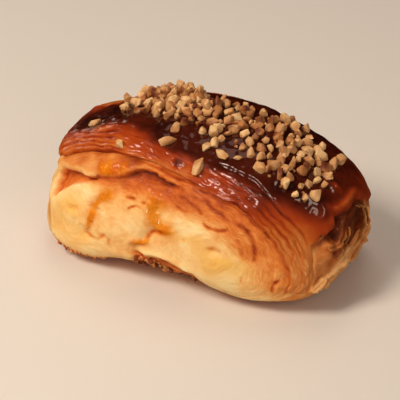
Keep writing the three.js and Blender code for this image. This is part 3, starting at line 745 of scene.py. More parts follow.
def crustSurface(angle, reach):
    spots = rollPoint(angle, reach)
    a = turn(angle)
    beyond = beyondHood(angle, reach)
    inset = np.maximum(-outsideCrust(angle, reach), 0)
    limit = np.interp(a, *crust["glazeLimit"]) + 2.6 * ripple(spots, 9, 16) + 1.5 * ripple(spots, 2.8, 17)
    width = bandWidth(angle)
    onBand = bandShare(angle) * softStep(width + 0.9, width - 0.9, beyond + 1.4 * ripple(spots, 7, 21))
    onFront = (1 - bandShare(angle)) * softStep(limit + 4, limit - 6, beyond)
    share = beyond / limit
    soft = blend(0.23, 0.42, softStep(50, 25, a))        # the glaze thins out slowly towards the right end
    leftInset = aroundDegree * (crustEnd(skinLeft, reach) - a) + 1.5 * ripple(spots, 4, 20)
    glaze = softStep(0.98 - soft, 0.98 + soft, share) * softStep(0.5, 8, leftInset)

    # a few long edges of layers, uneven streaks between them and short pale fibres
    depth = beyond * perDegree + 1.4 * ripple(spots, 12, 11) + 0.6 * ripple(spots, 4, 12)
    long, short = grain(depth, spots, 2.1, 15, 13), grain(depth, spots, 0.8, 4, 14)
    creases = bell(long + 0.6 * short, 0.12) * np.clip(0.1 + 1.1 * ripple(spots, 6, 15), 0, 1)
    fibres = softStep(0.25, 0.7, grain(depth, spots, 0.6, 2.6, 28)) * softStep(52, 25, a)
    wander = 0.9 * ripple(spots, 9, 29)
    edges = sum(
        dark * np.exp(-((beyond - far) * perDegree + wander) ** 2 / wide ** 2)
        for far, wide, dark in crust["layerEdges"]
    ) * np.clip(0.7 + ripple(spots, 11, 30), 0, 1) * blend(1, 1.8, softStep(50, 20, a))
    streaky = onBand + onFront
    rough = blend(crust["frontHeight"], crust["bandHeight"], onBand)
    swell = endSwell(angle, reach)
    swell = np.where(a > 148, np.maximum(swell, crust["leftSwell"]), swell)
    height, scorchAndSheen = lumps(spots) - rimBand["depth"] * onBand + swell, 0
    height += streaky * rough * (0.7 * long + 0.5 * short - 0.7 * creases + 0.5 * fibres - 2 * edges)
    waves = ripple(spots, 4.2, 26) + 0.5 * ripple(spots, 2.2, 27)
    height += crust["glazeWaves"] * softStep(0.3, 0.9, share) * softStep(3.2, 1.6, share) * waves
    height += (0.14 + 0.1 * glaze) * ripple(spots, 3.4, 18) + (0.07 + 0.05 * glaze) * ripple(spots, 1.5, 19)
    for x, y, wide, high, dark in crust["blisters"]:
        spot = np.exp(-((spots[..., 0] - x) ** 2 + (spots[..., 1] - y) ** 2) / wide ** 2)
        height, scorchAndSheen = height + high * spot, scorchAndSheen + dark * spot
    fold = crust["fold"]
    middle = np.interp(reach, fold["reaches"], fold["angles"])
    ridge = bell(aroundDegree * (a - middle), fold["width"])
    ridge *= softStep(*fold["front"], reach) * softStep(*fold["back"], reach)
    # the fold's ridge is paled as a painted highlight, the blisters darkened as scorch
    height, scorchAndSheen = height + fold["height"] * ridge, scorchAndSheen + fold["tone"] * ridge
    dip = np.clip(1 - inset / crust["thickness"], 0, 1)
    height -= crust["thickness"] * (1 - np.sqrt(1 - dip ** 2))
    points = grounded(spots, rollNormal(angle, reach), height)

    # the tone, and where the glaze lies thick
    t = crust["tones"]
    tan, left = softStep(48, -8, a), softStep(95, 130, a)
    patches = softStep(-0.1, 0.6, ripple(spots, 7, 22)) * onFront
    tone = t["plain"] + t["nearGlaze"] * np.clip(share, 0, 1) + t["tan"] * tan + t["patches"] * patches
    tone = tone + t["left"] * left + t["band"] * onBand
    tone += t["bandRight"] * onBand * softStep(58, 44, a) * softStep(8, 28, a)
    streaks = 0.2 * creases + 0.07 * long + 0.06 * short + edges - 0.16 * fibres
    tone += streaky * streaks + 0.08 * ripple(spots, 5, 23)
    tone += t["edge"] * np.exp(-np.maximum(beyond, 0) * perDegree / 0.5)
    dark = blend(t["glaze"], t["thinGlaze"], softStep(52, 20, a))
    tone = blend(tone, dark + 0.07 * ripple(spots, 6, 24), glaze)
    rim = softStep(4, 0.5, inset + 0.9 * ripple(spots, 3, 25)) * softStep(0, 9, beyond - width)
    tone = blend(tone, t["rim"], t["rimShare"] * rim) + scorchAndSheen
    gloss = (0.6 * softStep(10, 55, a) * streaky + glaze) * (1 - 0.8 * rim)
    masks = {
        "tone": np.clip(tone, 0, 1), "glaze": np.clip(gloss, 0, 1), "layers": depth,
        "streaky": np.clip(streaky, 0, 1),
    }
    return points, masks


def border(grid):        # the outline of a grid of numbers, in order
    return np.concatenate([grid[0, :-1], grid[:-1, -1], grid[-1, :0:-1], grid[:0:-1, 0]])


def bridge(outer, inner):        # triangles between two closed loops of unlike length
    faces = []
    i = k = 0
    while i < len(outer) or k < len(inner):
        first, last = outer[i % len(outer)], inner[k % len(inner)]
        if k == len(inner) or (i < len(outer) and (i + 1) * len(inner) <= (k + 1) * len(outer)):
            i += 1
            faces.append([first, outer[i % len(outer)], last])
        else:
            k += 1
            faces.append([first, inner[k % len(inner)], last])
    return faces


def makeCrust(material):
    u, w = np.meshgrid(np.linspace(0, 1, crust["columns"]), np.linspace(0, 1, crust["rows"]))
    wave = 4 * math.pi        # rows lie closer together near the two edges
    ease = w - crust["crowding"] * np.sin(wave * w) / wave
    points, masks = crustSurface(*crustPlace(u.ravel(), ease.ravel()))
    along = np.linspace(*crust["innerAlong"], crust["innerColumns"])
    iu, iw = np.meshgrid(along, np.linspace(*crust["innerAcross"], crust["innerRows"]))
    angle, reach = crustPlace(iu.ravel(), iw.ravel())
    deep = endSwell(angle, reach) - crust["inner"]
    inner = rollPoint(angle, reach) + rollNormal(angle, reach) * deep[:, None]
    outerGrid = np.arange(u.size).reshape(u.shape)
    innerGrid = np.arange(iu.size).reshape(iu.shape) + u.size
    faces = gridQuads(outerGrid)[:, ::-1].tolist() + gridQuads(innerGrid).tolist()
    faces += bridge(border(outerGrid).tolist(), border(innerGrid).tolist())
    masks = {name: np.concatenate([mask, np.zeros(iu.size)]) for name, mask in masks.items()}
    piece = meshPiece("crust", np.concatenate([points, inner]), faces, masks, material)
    print("crust", len(points) + len(inner), "points")
    return piece


# Custard strands: oval rods through the dough, with soft ends that sink into it round their rims

strands = {
    "rings": 34, "sides": 120, "proud": 0.1, "sink": 0.4,
    "places": {
        "cream_left": {"x": -36.6, "z": 20.3, "across": 5.2, "up": 4, "tilt": 25},
        "cream_right": {"x": 18.5, "z": 17, "across": 9.5, "up": 4.8, "tilt": -22},
    },
}


def makeStrand(name, material):
    size = strands["places"][name]
    turnBy = -math.radians(size["tilt"])
    share = np.linspace(0, 1, strands["rings"] + 1)[1:, None]
    spin = 2 * math.pi * np.arange(strands["sides"]) / strands["sides"]
    px, pz = share * size["across"] * np.cos(spin), share * size["up"] * np.sin(spin)
    x = size["x"] + px * math.cos(turnBy) - pz * math.sin(turnBy)
    z = size["z"] + px * math.sin(turnBy) + pz * math.cos(turnBy)
    x, z = np.append(x.ravel(), size["x"]), np.append(z.ravel(), size["z"])
    rim = np.append(np.broadcast_to(share, px.shape).ravel(), 0)
    cx, _, cz = roll["centre"]
    zone = roll["liftZone"]
    ends, masks = [], []
    for lift, back in ((roll["liftFront"], False), (roll["liftBack"], True)):
        flat = np.where(z < zone, zone - (zone - z) / (1 - liftShare(x) * lift / zone), z)
        angle, reach = faceAngles(np.stack([x - cx, flat - cz], -1))
        reach = 180 - reach if back else reach
        points, mask = doughSurface(angle, reach)
        uneven = rim + 0.34 * ripple(points, 3.4, 61) + 0.16 * ripple(points, 1.3, 62)
        core = softStep(0.95, 0.1, uneven)
        sunk = strands["sink"] * softStep(0.5, 1, np.maximum(uneven, rim - 0.05))
        out = strands["proud"] * core - sunk
        ends.append(points + rollNormal(angle, reach) * out[:, None])
        masks.append({**mask, "core": core})
    count = len(x)
    grid = np.arange(count - 1).reshape(strands["rings"], strands["sides"])
    cap, side = loopQuads(grid), loopQuads(np.stack([grid[-1], grid[-1] + count]))
    tip = np.stack([np.full(strands["sides"], count - 1), grid[0], np.roll(grid[0], -1)], -1)
    faces = cap.tolist() + tip.tolist() + side.tolist()
    faces += (cap + count)[:, ::-1].tolist() + (tip + count)[:, ::-1].tolist()
    both = {label: np.concatenate([mask[label] for mask in masks]) for label in masks[0]}
    piece = meshPiece(name + "_custard", np.concatenate(ends), faces, both, material)
    fixNormals(piece)
    print(piece.name, 2 * count, "points")
    return piece


def fixNormals(piece):
    work = bmesh.new()
    work.from_mesh(piece.data)
    bmesh.ops.recalc_face_normals(work, faces=work.faces)
    work.to_mesh(piece.data)
    work.free()


# Scattered bits: one node tree puts a kind of bit on each point of a cloud, as the point says

bitValues = {        # what each point of a cloud carries
    "size": ("FLOAT", "value"), "kind": ("INT", "value"), "tone": ("FLOAT", "value"),
    "turn": ("FLOAT_VECTOR", "vector"),
}
farOff = 200        # millimetres from which bits are dropped on a surface


def scatterTree():
    tree = bpy.data.node_groups.new("scatterBits", "GeometryNodeTree")
    for label, kind, way in (
        ("Cloud", "NodeSocketGeometry", "INPUT"), ("Kinds", "NodeSocketCollection", "INPUT"),
        ("Size", "NodeSocketFloat", "INPUT"), ("Finish", "NodeSocketMaterial", "INPUT"),
        ("Bits", "NodeSocketGeometry", "OUTPUT"),
    ):
        tree.interface.new_socket(label, in_out=way, socket_type=kind)
    nodes, link = tree.nodes, tree.links.new
    start, end = nodes.new("NodeGroupInput"), nodes.new("NodeGroupOutput")

    def carried(name):
        node = nodes.new("GeometryNodeInputNamedAttribute")
        node.data_type = bitValues[name][0]
        node.inputs["Name"].default_value = name
        return node.outputs["Attribute"]

    kinds = nodes.new("GeometryNodeCollectionInfo")
    kinds.inputs["Separate Children"].default_value = True
    kinds.inputs["Reset Children"].default_value = True
    link(start.outputs["Kinds"], kinds.inputs["Collection"])
    scale = nodes.new("ShaderNodeMath")
    scale.operation = "MULTIPLY"
    link(carried("size"), scale.inputs[0])
    link(start.outputs["Size"], scale.inputs[1])
    spread = nodes.new("GeometryNodeInstanceOnPoints")
    spread.inputs["Pick Instance"].default_value = True
    link(start.outputs["Cloud"], spread.inputs["Points"])
    link(kinds.outputs["Instances"], spread.inputs["Instance"])
    link(carried("kind"), spread.inputs["Instance Index"])
    link(carried("turn"), spread.inputs["Rotation"])
    link(scale.outputs[0], spread.inputs["Scale"])
    real, finish = nodes.new("GeometryNodeRealizeInstances"), nodes.new("GeometryNodeSetMaterial")
    link(spread.outputs["Instances"], real.inputs["Geometry"])
    link(real.outputs["Geometry"], finish.inputs["Geometry"])
    link(start.outputs["Finish"], finish.inputs["Material"])
    link(finish.outputs["Geometry"], end.inputs["Bits"])
    return tree


def scatter(name, tree, kinds, cloud, material):
    mesh = bpy.data.meshes.new(name + "Cloud")
    mesh.from_pydata([tuple(bit["spot"] * unit) for bit in cloud], [], [])
    for label, (kind, key) in bitValues.items():
        layer = mesh.attributes.new(label, kind, "POINT")
        layer.data.foreach_set(key, np.ravel([bit[label] for bit in cloud]))
    carrier = bpy.data.objects.new(name + "Cloud", mesh)
    scene.collection.objects.link(carrier)
    modifier = carrier.modifiers.new("scatter", "NODES")
    modifier.node_group = tree
    items = [item for item in tree.interface.items_tree if item.item_type == "SOCKET"]
    sockets = {item.name: item.identifier for item in items}
    modifier[sockets["Kinds"]] = kinds
    modifier[sockets["Size"]] = unit
    modifier[sockets["Finish"]] = material
    evaluated = carrier.evaluated_get(bpy.context.evaluated_depsgraph_get())
    result = bpy.data.meshes.new_from_object(evaluated)
    result.name = name
    bpy.data.objects.remove(carrier)
    result.materials.clear()
    result.materials.append(material)
    piece = bpy.data.objects.new(name, result)
    scene.collection.objects.link(piece)
    print(name, len(cloud), "bits,", len(result.polygons), "faces")
    return piece


def compass(spin):        # a level direction, in degrees from X towards Y
    return Vector((math.cos(math.radians(spin)), math.sin(math.radians(spin)), 0))


def layOn(normal, ahead):        # the turn that lays a bit on a slope, its long side ahead
    ahead = (ahead - normal * ahead.dot(normal)).normalized()
    return list(Matrix((ahead, normal.cross(ahead), normal)).transposed().to_euler())


def anyTurn(n, salts):
    return [2 * math.pi * draw(n, salt) for salt in salts]


def meshTree(*pieces):        # a search tree over meshes, in drawn millimetres
    points, faces = [], []
    for piece in pieces:
        start = len(points)
        points += [v.co / unit for v in piece.data.vertices]
        faces += [[start + v for v in face.vertices] for face in piece.data.polygons]
    return BVHTree.FromPolygons(points, faces)


def bitCollection(name, makeKind, count):        # the kinds of bit stay off the scene, as patterns only
    collection = bpy.data.collections.new(name)
    for n in range(count):
        collection.objects.link(makeKind(f"{name}{n:02d}", n))
    return collection


def bitMesh(name, work):
    mesh = bpy.data.meshes.new(name)
    work.to_mesh(mesh)
    work.free()
    return mesh


# Chopped nuts: a bed along the crown, a heap on its left half, strays down the front and small splinters

nuts = {
    "size": 3.5, "kinds": 24, "slivers": 4, "corners": 8, "softened": 0.055, "sharpAngle": 28, "sunk": 0.14,
    "ceiling": 51.5,
    "strays": [        # X, Y, size, which way its long side points, how toasted
        (-39.7, -3.9, 3.4, 20, 0.3), (-23.8, -16.8, 3.6, 112, 0.1), (-8.3, -13.2, 4.4, 20, 0.45),
        (-8.6, -7.3, 3.9, 100, 0.5), (4.9, -19.4, 5.0, 104, 0.3), (4.6, -12.4, 3.5, 60, 0.05),
        (6.1, -9.1, 4.0, 95, 0), (10.4, -13.5, 3.7, 150, 0.2), (15.4, -12.4, 2.2, 40, 0.2),
    ],
}
nuts["layers"] = {        # each lies on those before it, spread over the bed's width or inside an oval
    "bed": {"first": 1, "draws": 1300, "x": (-36, 43.5), "y": (-20, 21), "spacing": 2.6, "scale": 1,
            "thin": 1},
    "heap": {"first": 5001, "draws": 140, "x": (-33, 0), "y": (-2, 20), "spacing": 3, "scale": 1,
             "oval": (-17.5, 8.5, 15.5, 9)},
    "crest": {"first": 6001, "draws": 90, "x": (-29, -6), "y": (5, 18), "spacing": 3.2, "scale": 1,
              "oval": (-17.5, 11, 10.5, 6)},
    "peak": {"first": 6501, "draws": 90, "x": (-28, -7), "y": (6, 18), "spacing": 3, "scale": 1,
             "oval": (-17.5, 12, 9, 5)},
    "splinters": {"first": 7001, "draws": 130, "x": (-38, 43), "y": (-20, 20), "spacing": 2.2,
                  "scale": 0.42, "thin": 0.7},
}
nuts["bed"] = {        # X, the bed's middle in Y there, and X, its half width there
    "middle": ([-38, -20, 0, 20, 40], [7, 6.5, 5, 2.5, -1]),
    "half": ([-38, -26, 0, 18, 30, 43], [4, 10, 11, 14.5, 16.5, 13]),
    "endFade": 5,
}


def nutKind(name, n):        # an angular chip with softened edges, about one millimetre across
    count = nuts["corners"] + int(4 * draw(n, 10))
    sliver = n >= nuts["kinds"] - nuts["slivers"]
    stretch = [1 + 0.4 * draw(n, 1) + 0.35 * sliver, 0.85 + 0.3 * draw(n, 2), 0.65 + 0.4 * draw(n, 3)]
    k = np.arange(count)
    level, spin = 1 - (2 * k + 1) / count, 2 * math.pi * 0.618034 * k + n
    ring = np.sqrt(1 - level ** 2)
    corners = np.stack([ring * np.cos(spin), ring * np.sin(spin), level], -1) * stretch
    corners *= (0.62 + 0.6 * draw(30 * n + k, 11))[:, None]
    low, high = corners.min(0), corners.max(0)
    corners = (corners - (low + high) / 2) / (high - low).mean()
    work = bmesh.new()
    bmesh.ops.convex_hull(work, input=[work.verts.new(corner) for corner in corners])
    bmesh.ops.delete(work, geom=[vert for vert in work.verts if not vert.link_faces], context="VERTS")
    bmesh.ops.bevel(
        work, geom=list(work.edges), offset=nuts["softened"], segments=1, affect="EDGES",
        clamp_overlap=True,
    )
    mesh = bitMesh(name, work)
    way = compass(360 * draw(n, 12)) + Vector((0, 0, 0.6))
    broken = [float(softStep(0.25, 0.05, vert.co.dot(way))) for vert in mesh.vertices]
    mesh.attributes.new("cut", "FLOAT", "POINT").data.foreach_set("value", broken)
    mesh.shade_smooth()
    mesh.set_sharp_from_angle(angle=math.radians(nuts["sharpAngle"]))
    return bpy.data.objects.new(name, mesh)


def nutCover(x, y):        # how thickly nuts lie at a place on the crown
    bed, (left, right) = nuts["bed"], nuts["layers"]["bed"]["x"]
    fade = bed["endFade"]
    ends = softStep(left, left + fade, x) * softStep(right, right - fade, x)
    off = np.abs(y - np.interp(x, *bed["middle"])) / np.interp(x, *bed["half"])
    return ends * (1 - softStep(0.7, 1.05, off))


def nutFits(layer, n, x, y):
    if "oval" not in layer:
        return nutCover(x, y) > layer["thin"] * draw(n, 8)
    cx, cy, across, deep = layer["oval"]
    return math.hypot((x - cx) / across, (y - cy) / deep) < 1


def nutPlaces(layer):        # repeatable draws, each kept if it is clear of those before it
    places = []
    for n in range(layer["first"], layer["first"] + layer["draws"]):
        x, y = blend(*layer["x"], draw(n, 20)), blend(*layer["y"], draw(n, 21))
        clear = all(math.hypot(x - px, y - py) > layer["spacing"] for _, px, py in places)
        if clear and nutFits(layer, n, x, y):
            places.append((n, x, y))
    return places


def dropNut(ground, x, y, size):        # where a nut comes to lie, sunk a little, and the slope there
    spot, normal, _, _ = ground.ray_cast(Vector((x, y, farOff)), Vector((0, 0, -1)))
    return spot, normal, np.array(spot + normal * nuts["sunk"] * size)


def nutCloud(layer, ground):
    cloud, chips = [], nuts["kinds"] - nuts["slivers"]
    for n, x, y in nutPlaces(layer):
        size = layer["scale"] * nuts["size"] * (0.7 + 0.6 * draw(n, 7) ** 1.3)
        spot, _, middle = dropNut(ground, x, y, size)
        if spot.z <= nuts["ceiling"]:
            cloud.append({"spot": middle, "size": size, "kind": int(draw(n, 9) * chips),
                          "turn": anyTurn(n, (4, 5, 6)), "tone": draw(n, 30)})
    return cloud


def makeNuts(crustPiece, tree, material):
    kinds = bitCollection("nutKind", nutKind, nuts["kinds"])
    ground = meshTree(crustPiece)
    cloud, lying = [], []
    for n, (x, y, size, spin, tone) in enumerate(nuts["strays"]):
        _, normal, middle = dropNut(ground, x, y, size)
        cloud.append({"spot": middle, "size": size, "kind": nuts["kinds"] - 1 - n % nuts["slivers"],
                      "turn": layOn(normal, compass(spin)), "tone": tone})
    for layer in nuts["layers"].values():
        cloud += nutCloud(layer, meshTree(crustPiece, *lying))
        lying.append(scatter("nuts", tree, kinds, cloud, material))
    for piece in lying[:-1]:
        bpy.data.objects.remove(piece)
    lying[-1].name = "nuts"
    return lying[-1]


# Flaps: thin torn sheets of dough that stand up along the edges of the right end

flaps = {
    "stations": 70, "root": 0.8, "thick": 0.14, "rootThick": 3, "ragged": 0.45, "ends": 0.16,
    "rootShade": (0.25, 0.1, 0, 0.1, 0.25),        # painted shade: how much darker from the root over the tip to the root, darkest where the sheet meets the dough
    "sheets": [        # strokes of angles and reaches, width, lean from upright, tone
        {"stroke": dough["flankLines"]["lowLip"]["stroke"], "width": 1.9, "lean": 52, "tone": 0.16},
        {"stroke": dough["flankLines"]["backLip"]["stroke"], "width": 2.4, "lean": -48, "tone": 0.22},
        {"stroke": [(17.5, 98), (12, 95.5), (5, 92.5), (-2, 89.5)],
         "width": 2.4, "lean": -42, "tone": 0.34},
        {"stroke": [(19, 93), (15, 97.5), (8, 101), (1, 99)], "width": 1.6, "lean": -50, "tone": 0.3},
        {"stroke": [(15, 86), (10, 85), (5, 83.5)], "width": 1.3, "lean": -40, "tone": 0.5},
        {"stroke": [(14, 84), (11, 77), (11.5, 70), (14, 64)], "width": 1.3, "lean": 50, "tone": 0.55},
        {"stroke": [(7, 85), (6.5, 78), (4, 72)], "width": 1.1, "lean": 52, "tone": 0.4},
        {"stroke": [(-5, 86), (-8, 76), (-15, 65)], "width": 0.9, "lean": 60, "tone": 0.22},
        {"stroke": [(-12, 92), (-15, 80), (-21, 69)], "width": 0.8, "lean": 62, "tone": 0.3},
        {"stroke": [(20.5, 72), (19.5, 65), (17, 58)], "width": 1.1, "lean": -55, "tone": 0.5},
        {"stroke": [(4, 104), (-4, 100), (-12, 99)], "width": 1.0, "lean": -50, "tone": 0.26},
    ],
    "colours": [(0, (246, 200, 140)), (0.3, (228, 160, 92)), (0.6, (190, 110, 50)), (1, (124, 54, 20))],
}


def onRoll(angle, reach, ground):        # the place on a surface at an angle and reach, and its normal
    normal = Vector(rollNormal(np.array(angle), np.array(reach)))
    start = Vector(rollPoint(np.array(angle), np.array(reach))) + normal * 8
    spot, _, _, _ = ground.ray_cast(start, -normal)
    return np.array(spot), np.array(normal)


def flapRings(sheet, ground):        # five points round the sheet at each station
    stroke = spline(sheet["stroke"], flaps["stations"])
    spots, normals = (np.array(rows) for rows in zip(*(onRoll(*place, ground) for place in stroke)))
    ahead = np.gradient(spots, axis=0)
    ahead /= np.linalg.norm(ahead, axis=1, keepdims=True)
    side = np.cross(normals, ahead)
    share = np.linspace(0, 1, len(stroke))
    taper = softStep(0, flaps["ends"], share) * softStep(1, 1 - flaps["ends"], share)
    torn = 1 + flaps["ragged"] * (ripple(spots, 2.6, 71) + 0.7 * ripple(spots, 1, 72))
    reach = (sheet["width"] * taper * torn)[:, None]
    lean = math.radians(sheet["lean"]) * (1 + 0.3 * ripple(spots, 3.5, 73))[:, None]
    way = normals * np.cos(lean) + side * np.sin(lean)
    across = np.cross(ahead, way) * flaps["thick"]
    root, wide = spots - normals * flaps["root"], across * flaps["rootThick"]
    middle = spots + way * reach * 0.5
    return np.stack([root + wide, middle + across, spots + way * reach, middle - across, root - wide], 1)


def makeFlaps(ground, material):
    points, faces, tones = [], [], []
    for sheet in flaps["sheets"]:
        rings = flapRings(sheet, ground)
        count, sides = rings.shape[:2]
        grid = np.arange(count * sides).reshape(count, sides) + len(points)
        faces += loopQuads(grid).tolist() + [grid[0].tolist(), grid[-1, ::-1].tolist()]
        points += rings.reshape(-1, 3).tolist()
        # painted shade darkens each sheet towards its root
        tones += (sheet["tone"] + np.tile(flaps["rootShade"], count)).tolist()
    piece = meshPiece("flaps", points, faces, {"tone": tones}, material)
    fixNormals(piece)
    print("flaps", len(points), "points")
    return piece


# Crumbs: browned grains that cling under the notch, along the base and round both ends

crumbs = {
    "kinds": 8, "bumps": 0.35, "sunk": 0.15, "first": 9501,
    "areas": [        # seen from a side: the ranges of X or Y and of Z, how many, size, how dark at most
        {"side": (0, -1), "along": (-14, 9), "up": (5.5, 9.2), "count": 90, "size": 1.1, "dark": 1},
        {"side": (0, -1), "along": (-13, -4), "up": (8, 11), "count": 26, "size": 1.4, "dark": 1},
        {"side": (0, -1), "along": (-43, -22), "up": (2.8, 5.6), "count": 60, "size": 0.75, "dark": 0.5},
        {"side": (0, -1), "along": (8, 40), "up": (0.3, 1.0), "count": 30, "size": 0.6, "dark": 0.8},
        {"side": (0, 1), "along": (-14, 9), "up": (4, 7.5), "count": 60, "size": 1.0, "dark": 0.7},
        {"side": (0, 1), "along": (-40, 35), "up": (0.4, 1.6), "count": 60, "size": 0.8, "dark": 0.8},
        {"side": (1, 0), "along": (-14, 14), "up": (0.5, 1.6), "count": 44, "size": 1.1, "dark": 1},
        {"side": (-1, 0), "along": (-14, 14), "up": (0.5, 2.2), "count": 30, "size": 0.8, "dark": 0.7},
    ],
    "colours": [(0, (224, 150, 84)), (0.4, (182, 98, 44)), (0.75, (128, 58, 24)), (1, (78, 32, 16))],
}


def crumbKind(name, n):
    work = bmesh.new()
    bmesh.ops.create_icosphere(work, subdivisions=1, radius=0.5)
    for k, vert in enumerate(work.verts):
        vert.co *= 1 + crumbs["bumps"] * (2 * draw(20 * n + k, 2) - 1)
        vert.co.x *= 1 + draw(n, 3)
    return bpy.data.objects.new(name, bitMesh(name, work))


def makeCrumbs(ground, tree, material):
    kinds = bitCollection("crumbKind", crumbKind, crumbs["kinds"])
    cloud = []
    n = crumbs["first"]
    for area in crumbs["areas"]:
        sideX, sideY = area["side"]
        for _ in range(area["count"]):
            n += 1
            along, up = blend(*area["along"], draw(n, 1)), blend(*area["up"], draw(n, 2))
            start = Vector((farOff * sideX + along * abs(sideY), farOff * sideY + along * abs(sideX), up))
            spot, normal, _, _ = ground.ray_cast(start, Vector((-sideX, -sideY, 0)))
            if not spot:
                continue
            size = area["size"] * (0.5 + 1.1 * draw(n, 3) ** 2)
            middle = np.array(spot + normal * crumbs["sunk"] * size)
            middle[2] = max(middle[2], 0.5 * size)
            cloud.append({"spot": middle, "size": size, "kind": int(draw(n, 4) * crumbs["kinds"]),
                          "turn": anyTurn(n, (5, 6, 7)), "tone": area["dark"] * draw(n, 8)})
    piece = scatter("crumbs", tree, kinds, cloud, material)
    for vert in piece.data.vertices:        # the lowest ones are pressed flat on the base
        vert.co.z = max(vert.co.z, 0)
    return piece


# Finishes: sockets in Python expressions, and any other node from one method

noiseRoughness = 0.55


def tint(red, green, blue):        # a colour as seen on a screen, from 0 to 255, made linear
    values = np.array([red, green, blue]) / 255
    return (*np.where(values < 0.04045, values / 12.92, ((values + 0.055) / 1.055) ** 2.4), 1)


def setStops(elements, stops):
    while len(elements) < len(stops):
        elements.new(1)
    for element, (spot, colour) in zip(elements, stops):
        element.position, element.color = spot, tint(*colour)


class Wire:
    def __init__(self, finish, socket):
        self.finish, self.socket = finish, socket

    def sum(self, operation, first, second):
        return self.finish.node("Math", {"operation": operation}, {0: first, 1: second})

    def __add__(self, other):
        return self.sum("ADD", self, other)

    def __radd__(self, other):
        return self.sum("ADD", other, self)

    def __sub__(self, other):
        return self.sum("SUBTRACT", self, other)

    def __rsub__(self, other):
        return self.sum("SUBTRACT", other, self)

    def __mul__(self, other):
        return self.sum("MULTIPLY", self, other)

    def __rmul__(self, other):
        return self.sum("MULTIPLY", other, self)

    def __pow__(self, other):
        return self.sum("POWER", self, other)

    def clamped(self):
        return self.finish.node("Clamp", {}, {"Value": self})


class Finish:
    def __init__(self, name):
        self.material = bpy.data.materials.new(name)
        self.material.use_nodes = True
        self.tree = self.material.node_tree
        self.shader = self.tree.nodes["Principled BSDF"]
        self.place = self.node("TexCoord", {}, {}, "Object")

    def node(self, kind, settings, sockets, output=0):
        made = self.tree.nodes.new("ShaderNode" + kind)
        for name, value in settings.items():
            if name == "stops":
                setStops(made.color_ramp.elements, value)
            else:
                setattr(made, name, value)
        for name, value in sockets.items():
            self.plug(value, made.inputs[name])
        return Wire(self, made.outputs[output])

    def plug(self, value, socket):
        if isinstance(value, Wire):
            self.tree.links.new(value.socket, socket)
        else:
            socket.default_value = value

    def mask(self, name):
        return self.node("Attribute", {"attribute_name": name}, {}, "Fac")

    def speckle(self, spot, scale, detail):
        sockets = {"Vector": spot, "Scale": scale, "Detail": detail, "Roughness": noiseRoughness}
        return self.node("TexNoise", {}, sockets)

    def noise(self, size, detail=3):        # size in millimetres, values from 0 to 1
        return self.speckle(self.place, 1 / (size * unit), detail)

    def along(self, way):
        return self.node("VectorMath", {"operation": "DOT_PRODUCT"}, {0: self.place, 1: way}, "Value")

    def streaks(self, layers, thick, run, detail=2):        # noise drawn out along the layers
        reach = 1 / (run * unit)
        x, yz = self.along((reach, 0, 0)), self.along((0, reach, reach))
        spot = self.node("CombineXYZ", {}, {"X": layers * (1 / thick), "Y": x, "Z": yz})
        return self.speckle(spot, 1, detail)

    def mix(self, share, first, second):        # of colours in wires or as seen on a screen
        first, second = (one if isinstance(one, Wire) else tint(*one) for one in (first, second))
        settings = {"data_type": "RGBA", "clamp_factor": True}
        return self.node("Mix", settings, {0: share, 6: first, 7: second}, 2)

    def ramp(self, share, colours):        # places from 0 to 1, and colours as seen on a screen
        return self.node("ValToRGB", {"stops": colours}, {"Fac": share})

    def bump(self, height, strength, depth):        # depth in millimetres
        return self.node("Bump", {}, {"Height": height, "Strength": strength, "Distance": depth * unit})

    def set(self, **sockets):
        for name, value in sockets.items():
            words = ["IOR" if word == "ior" else word.capitalize() for word in name.split("_")]
            self.plug(value, self.shader.inputs[" ".join(words)])
        return self.material


dough["look"] = {        # colours as seen on a screen, from unbrowned to burnt
    "soft": [(0, (255, 222, 160)), (0.09, (253, 206, 136)), (0.2, (247, 185, 110)), (0.32, (237, 160, 84)),
             (0.45, (226, 128, 52)), (0.6, (202, 96, 32)), (0.75, (168, 66, 18)), (0.9, (124, 44, 12)),
             (1, (84, 30, 12))],
    "dry": [(0, (242, 188, 124)), (0.25, (222, 148, 80)), (0.5, (190, 102, 42)), (0.75, (138, 58, 20)),
            (1, (84, 28, 10))],
    "cream": (247, 182, 82), "jelly": (255, 162, 14), "deepJelly": (208, 88, 2),
    "surface": {"coat_roughness": 0.06, "specular_ior_level": 0.25, "subsurface_weight": 0.14,
                "subsurface_radius": (1, 0.45, 0.18), "subsurface_scale": 2 * unit},
}
crust["look"] = {
    "tones": [(0, (222, 152, 88)), (0.18, (206, 122, 58)), (0.34, (188, 90, 29)), (0.48, (168, 61, 15)),
              (0.62, (138, 44, 12)), (0.78, (94, 28, 10)), (1, (44, 12, 6))],
    "surface": {"coat_roughness": 0.05, "coat_ior": 1.45, "specular_ior_level": 0.14},
}
strands["look"] = {
    "yellow": (253, 198, 100), "deepYellow": (246, 178, 70),
    "surface": {"subsurface_weight": 0.18, "subsurface_radius": (1, 0.55, 0.2),
                "subsurface_scale": 2 * unit},
}
nuts["look"] = {
    "flesh": (242, 197, 138), "darkFlesh": (190, 118, 58),
    "skin": (222, 164, 102), "darkSkin": (172, 96, 44), "toasted": (108, 44, 18),
    "surface": {"subsurface_weight": 0.06, "subsurface_radius": (1, 0.6, 0.3),
                "subsurface_scale": unit},
}


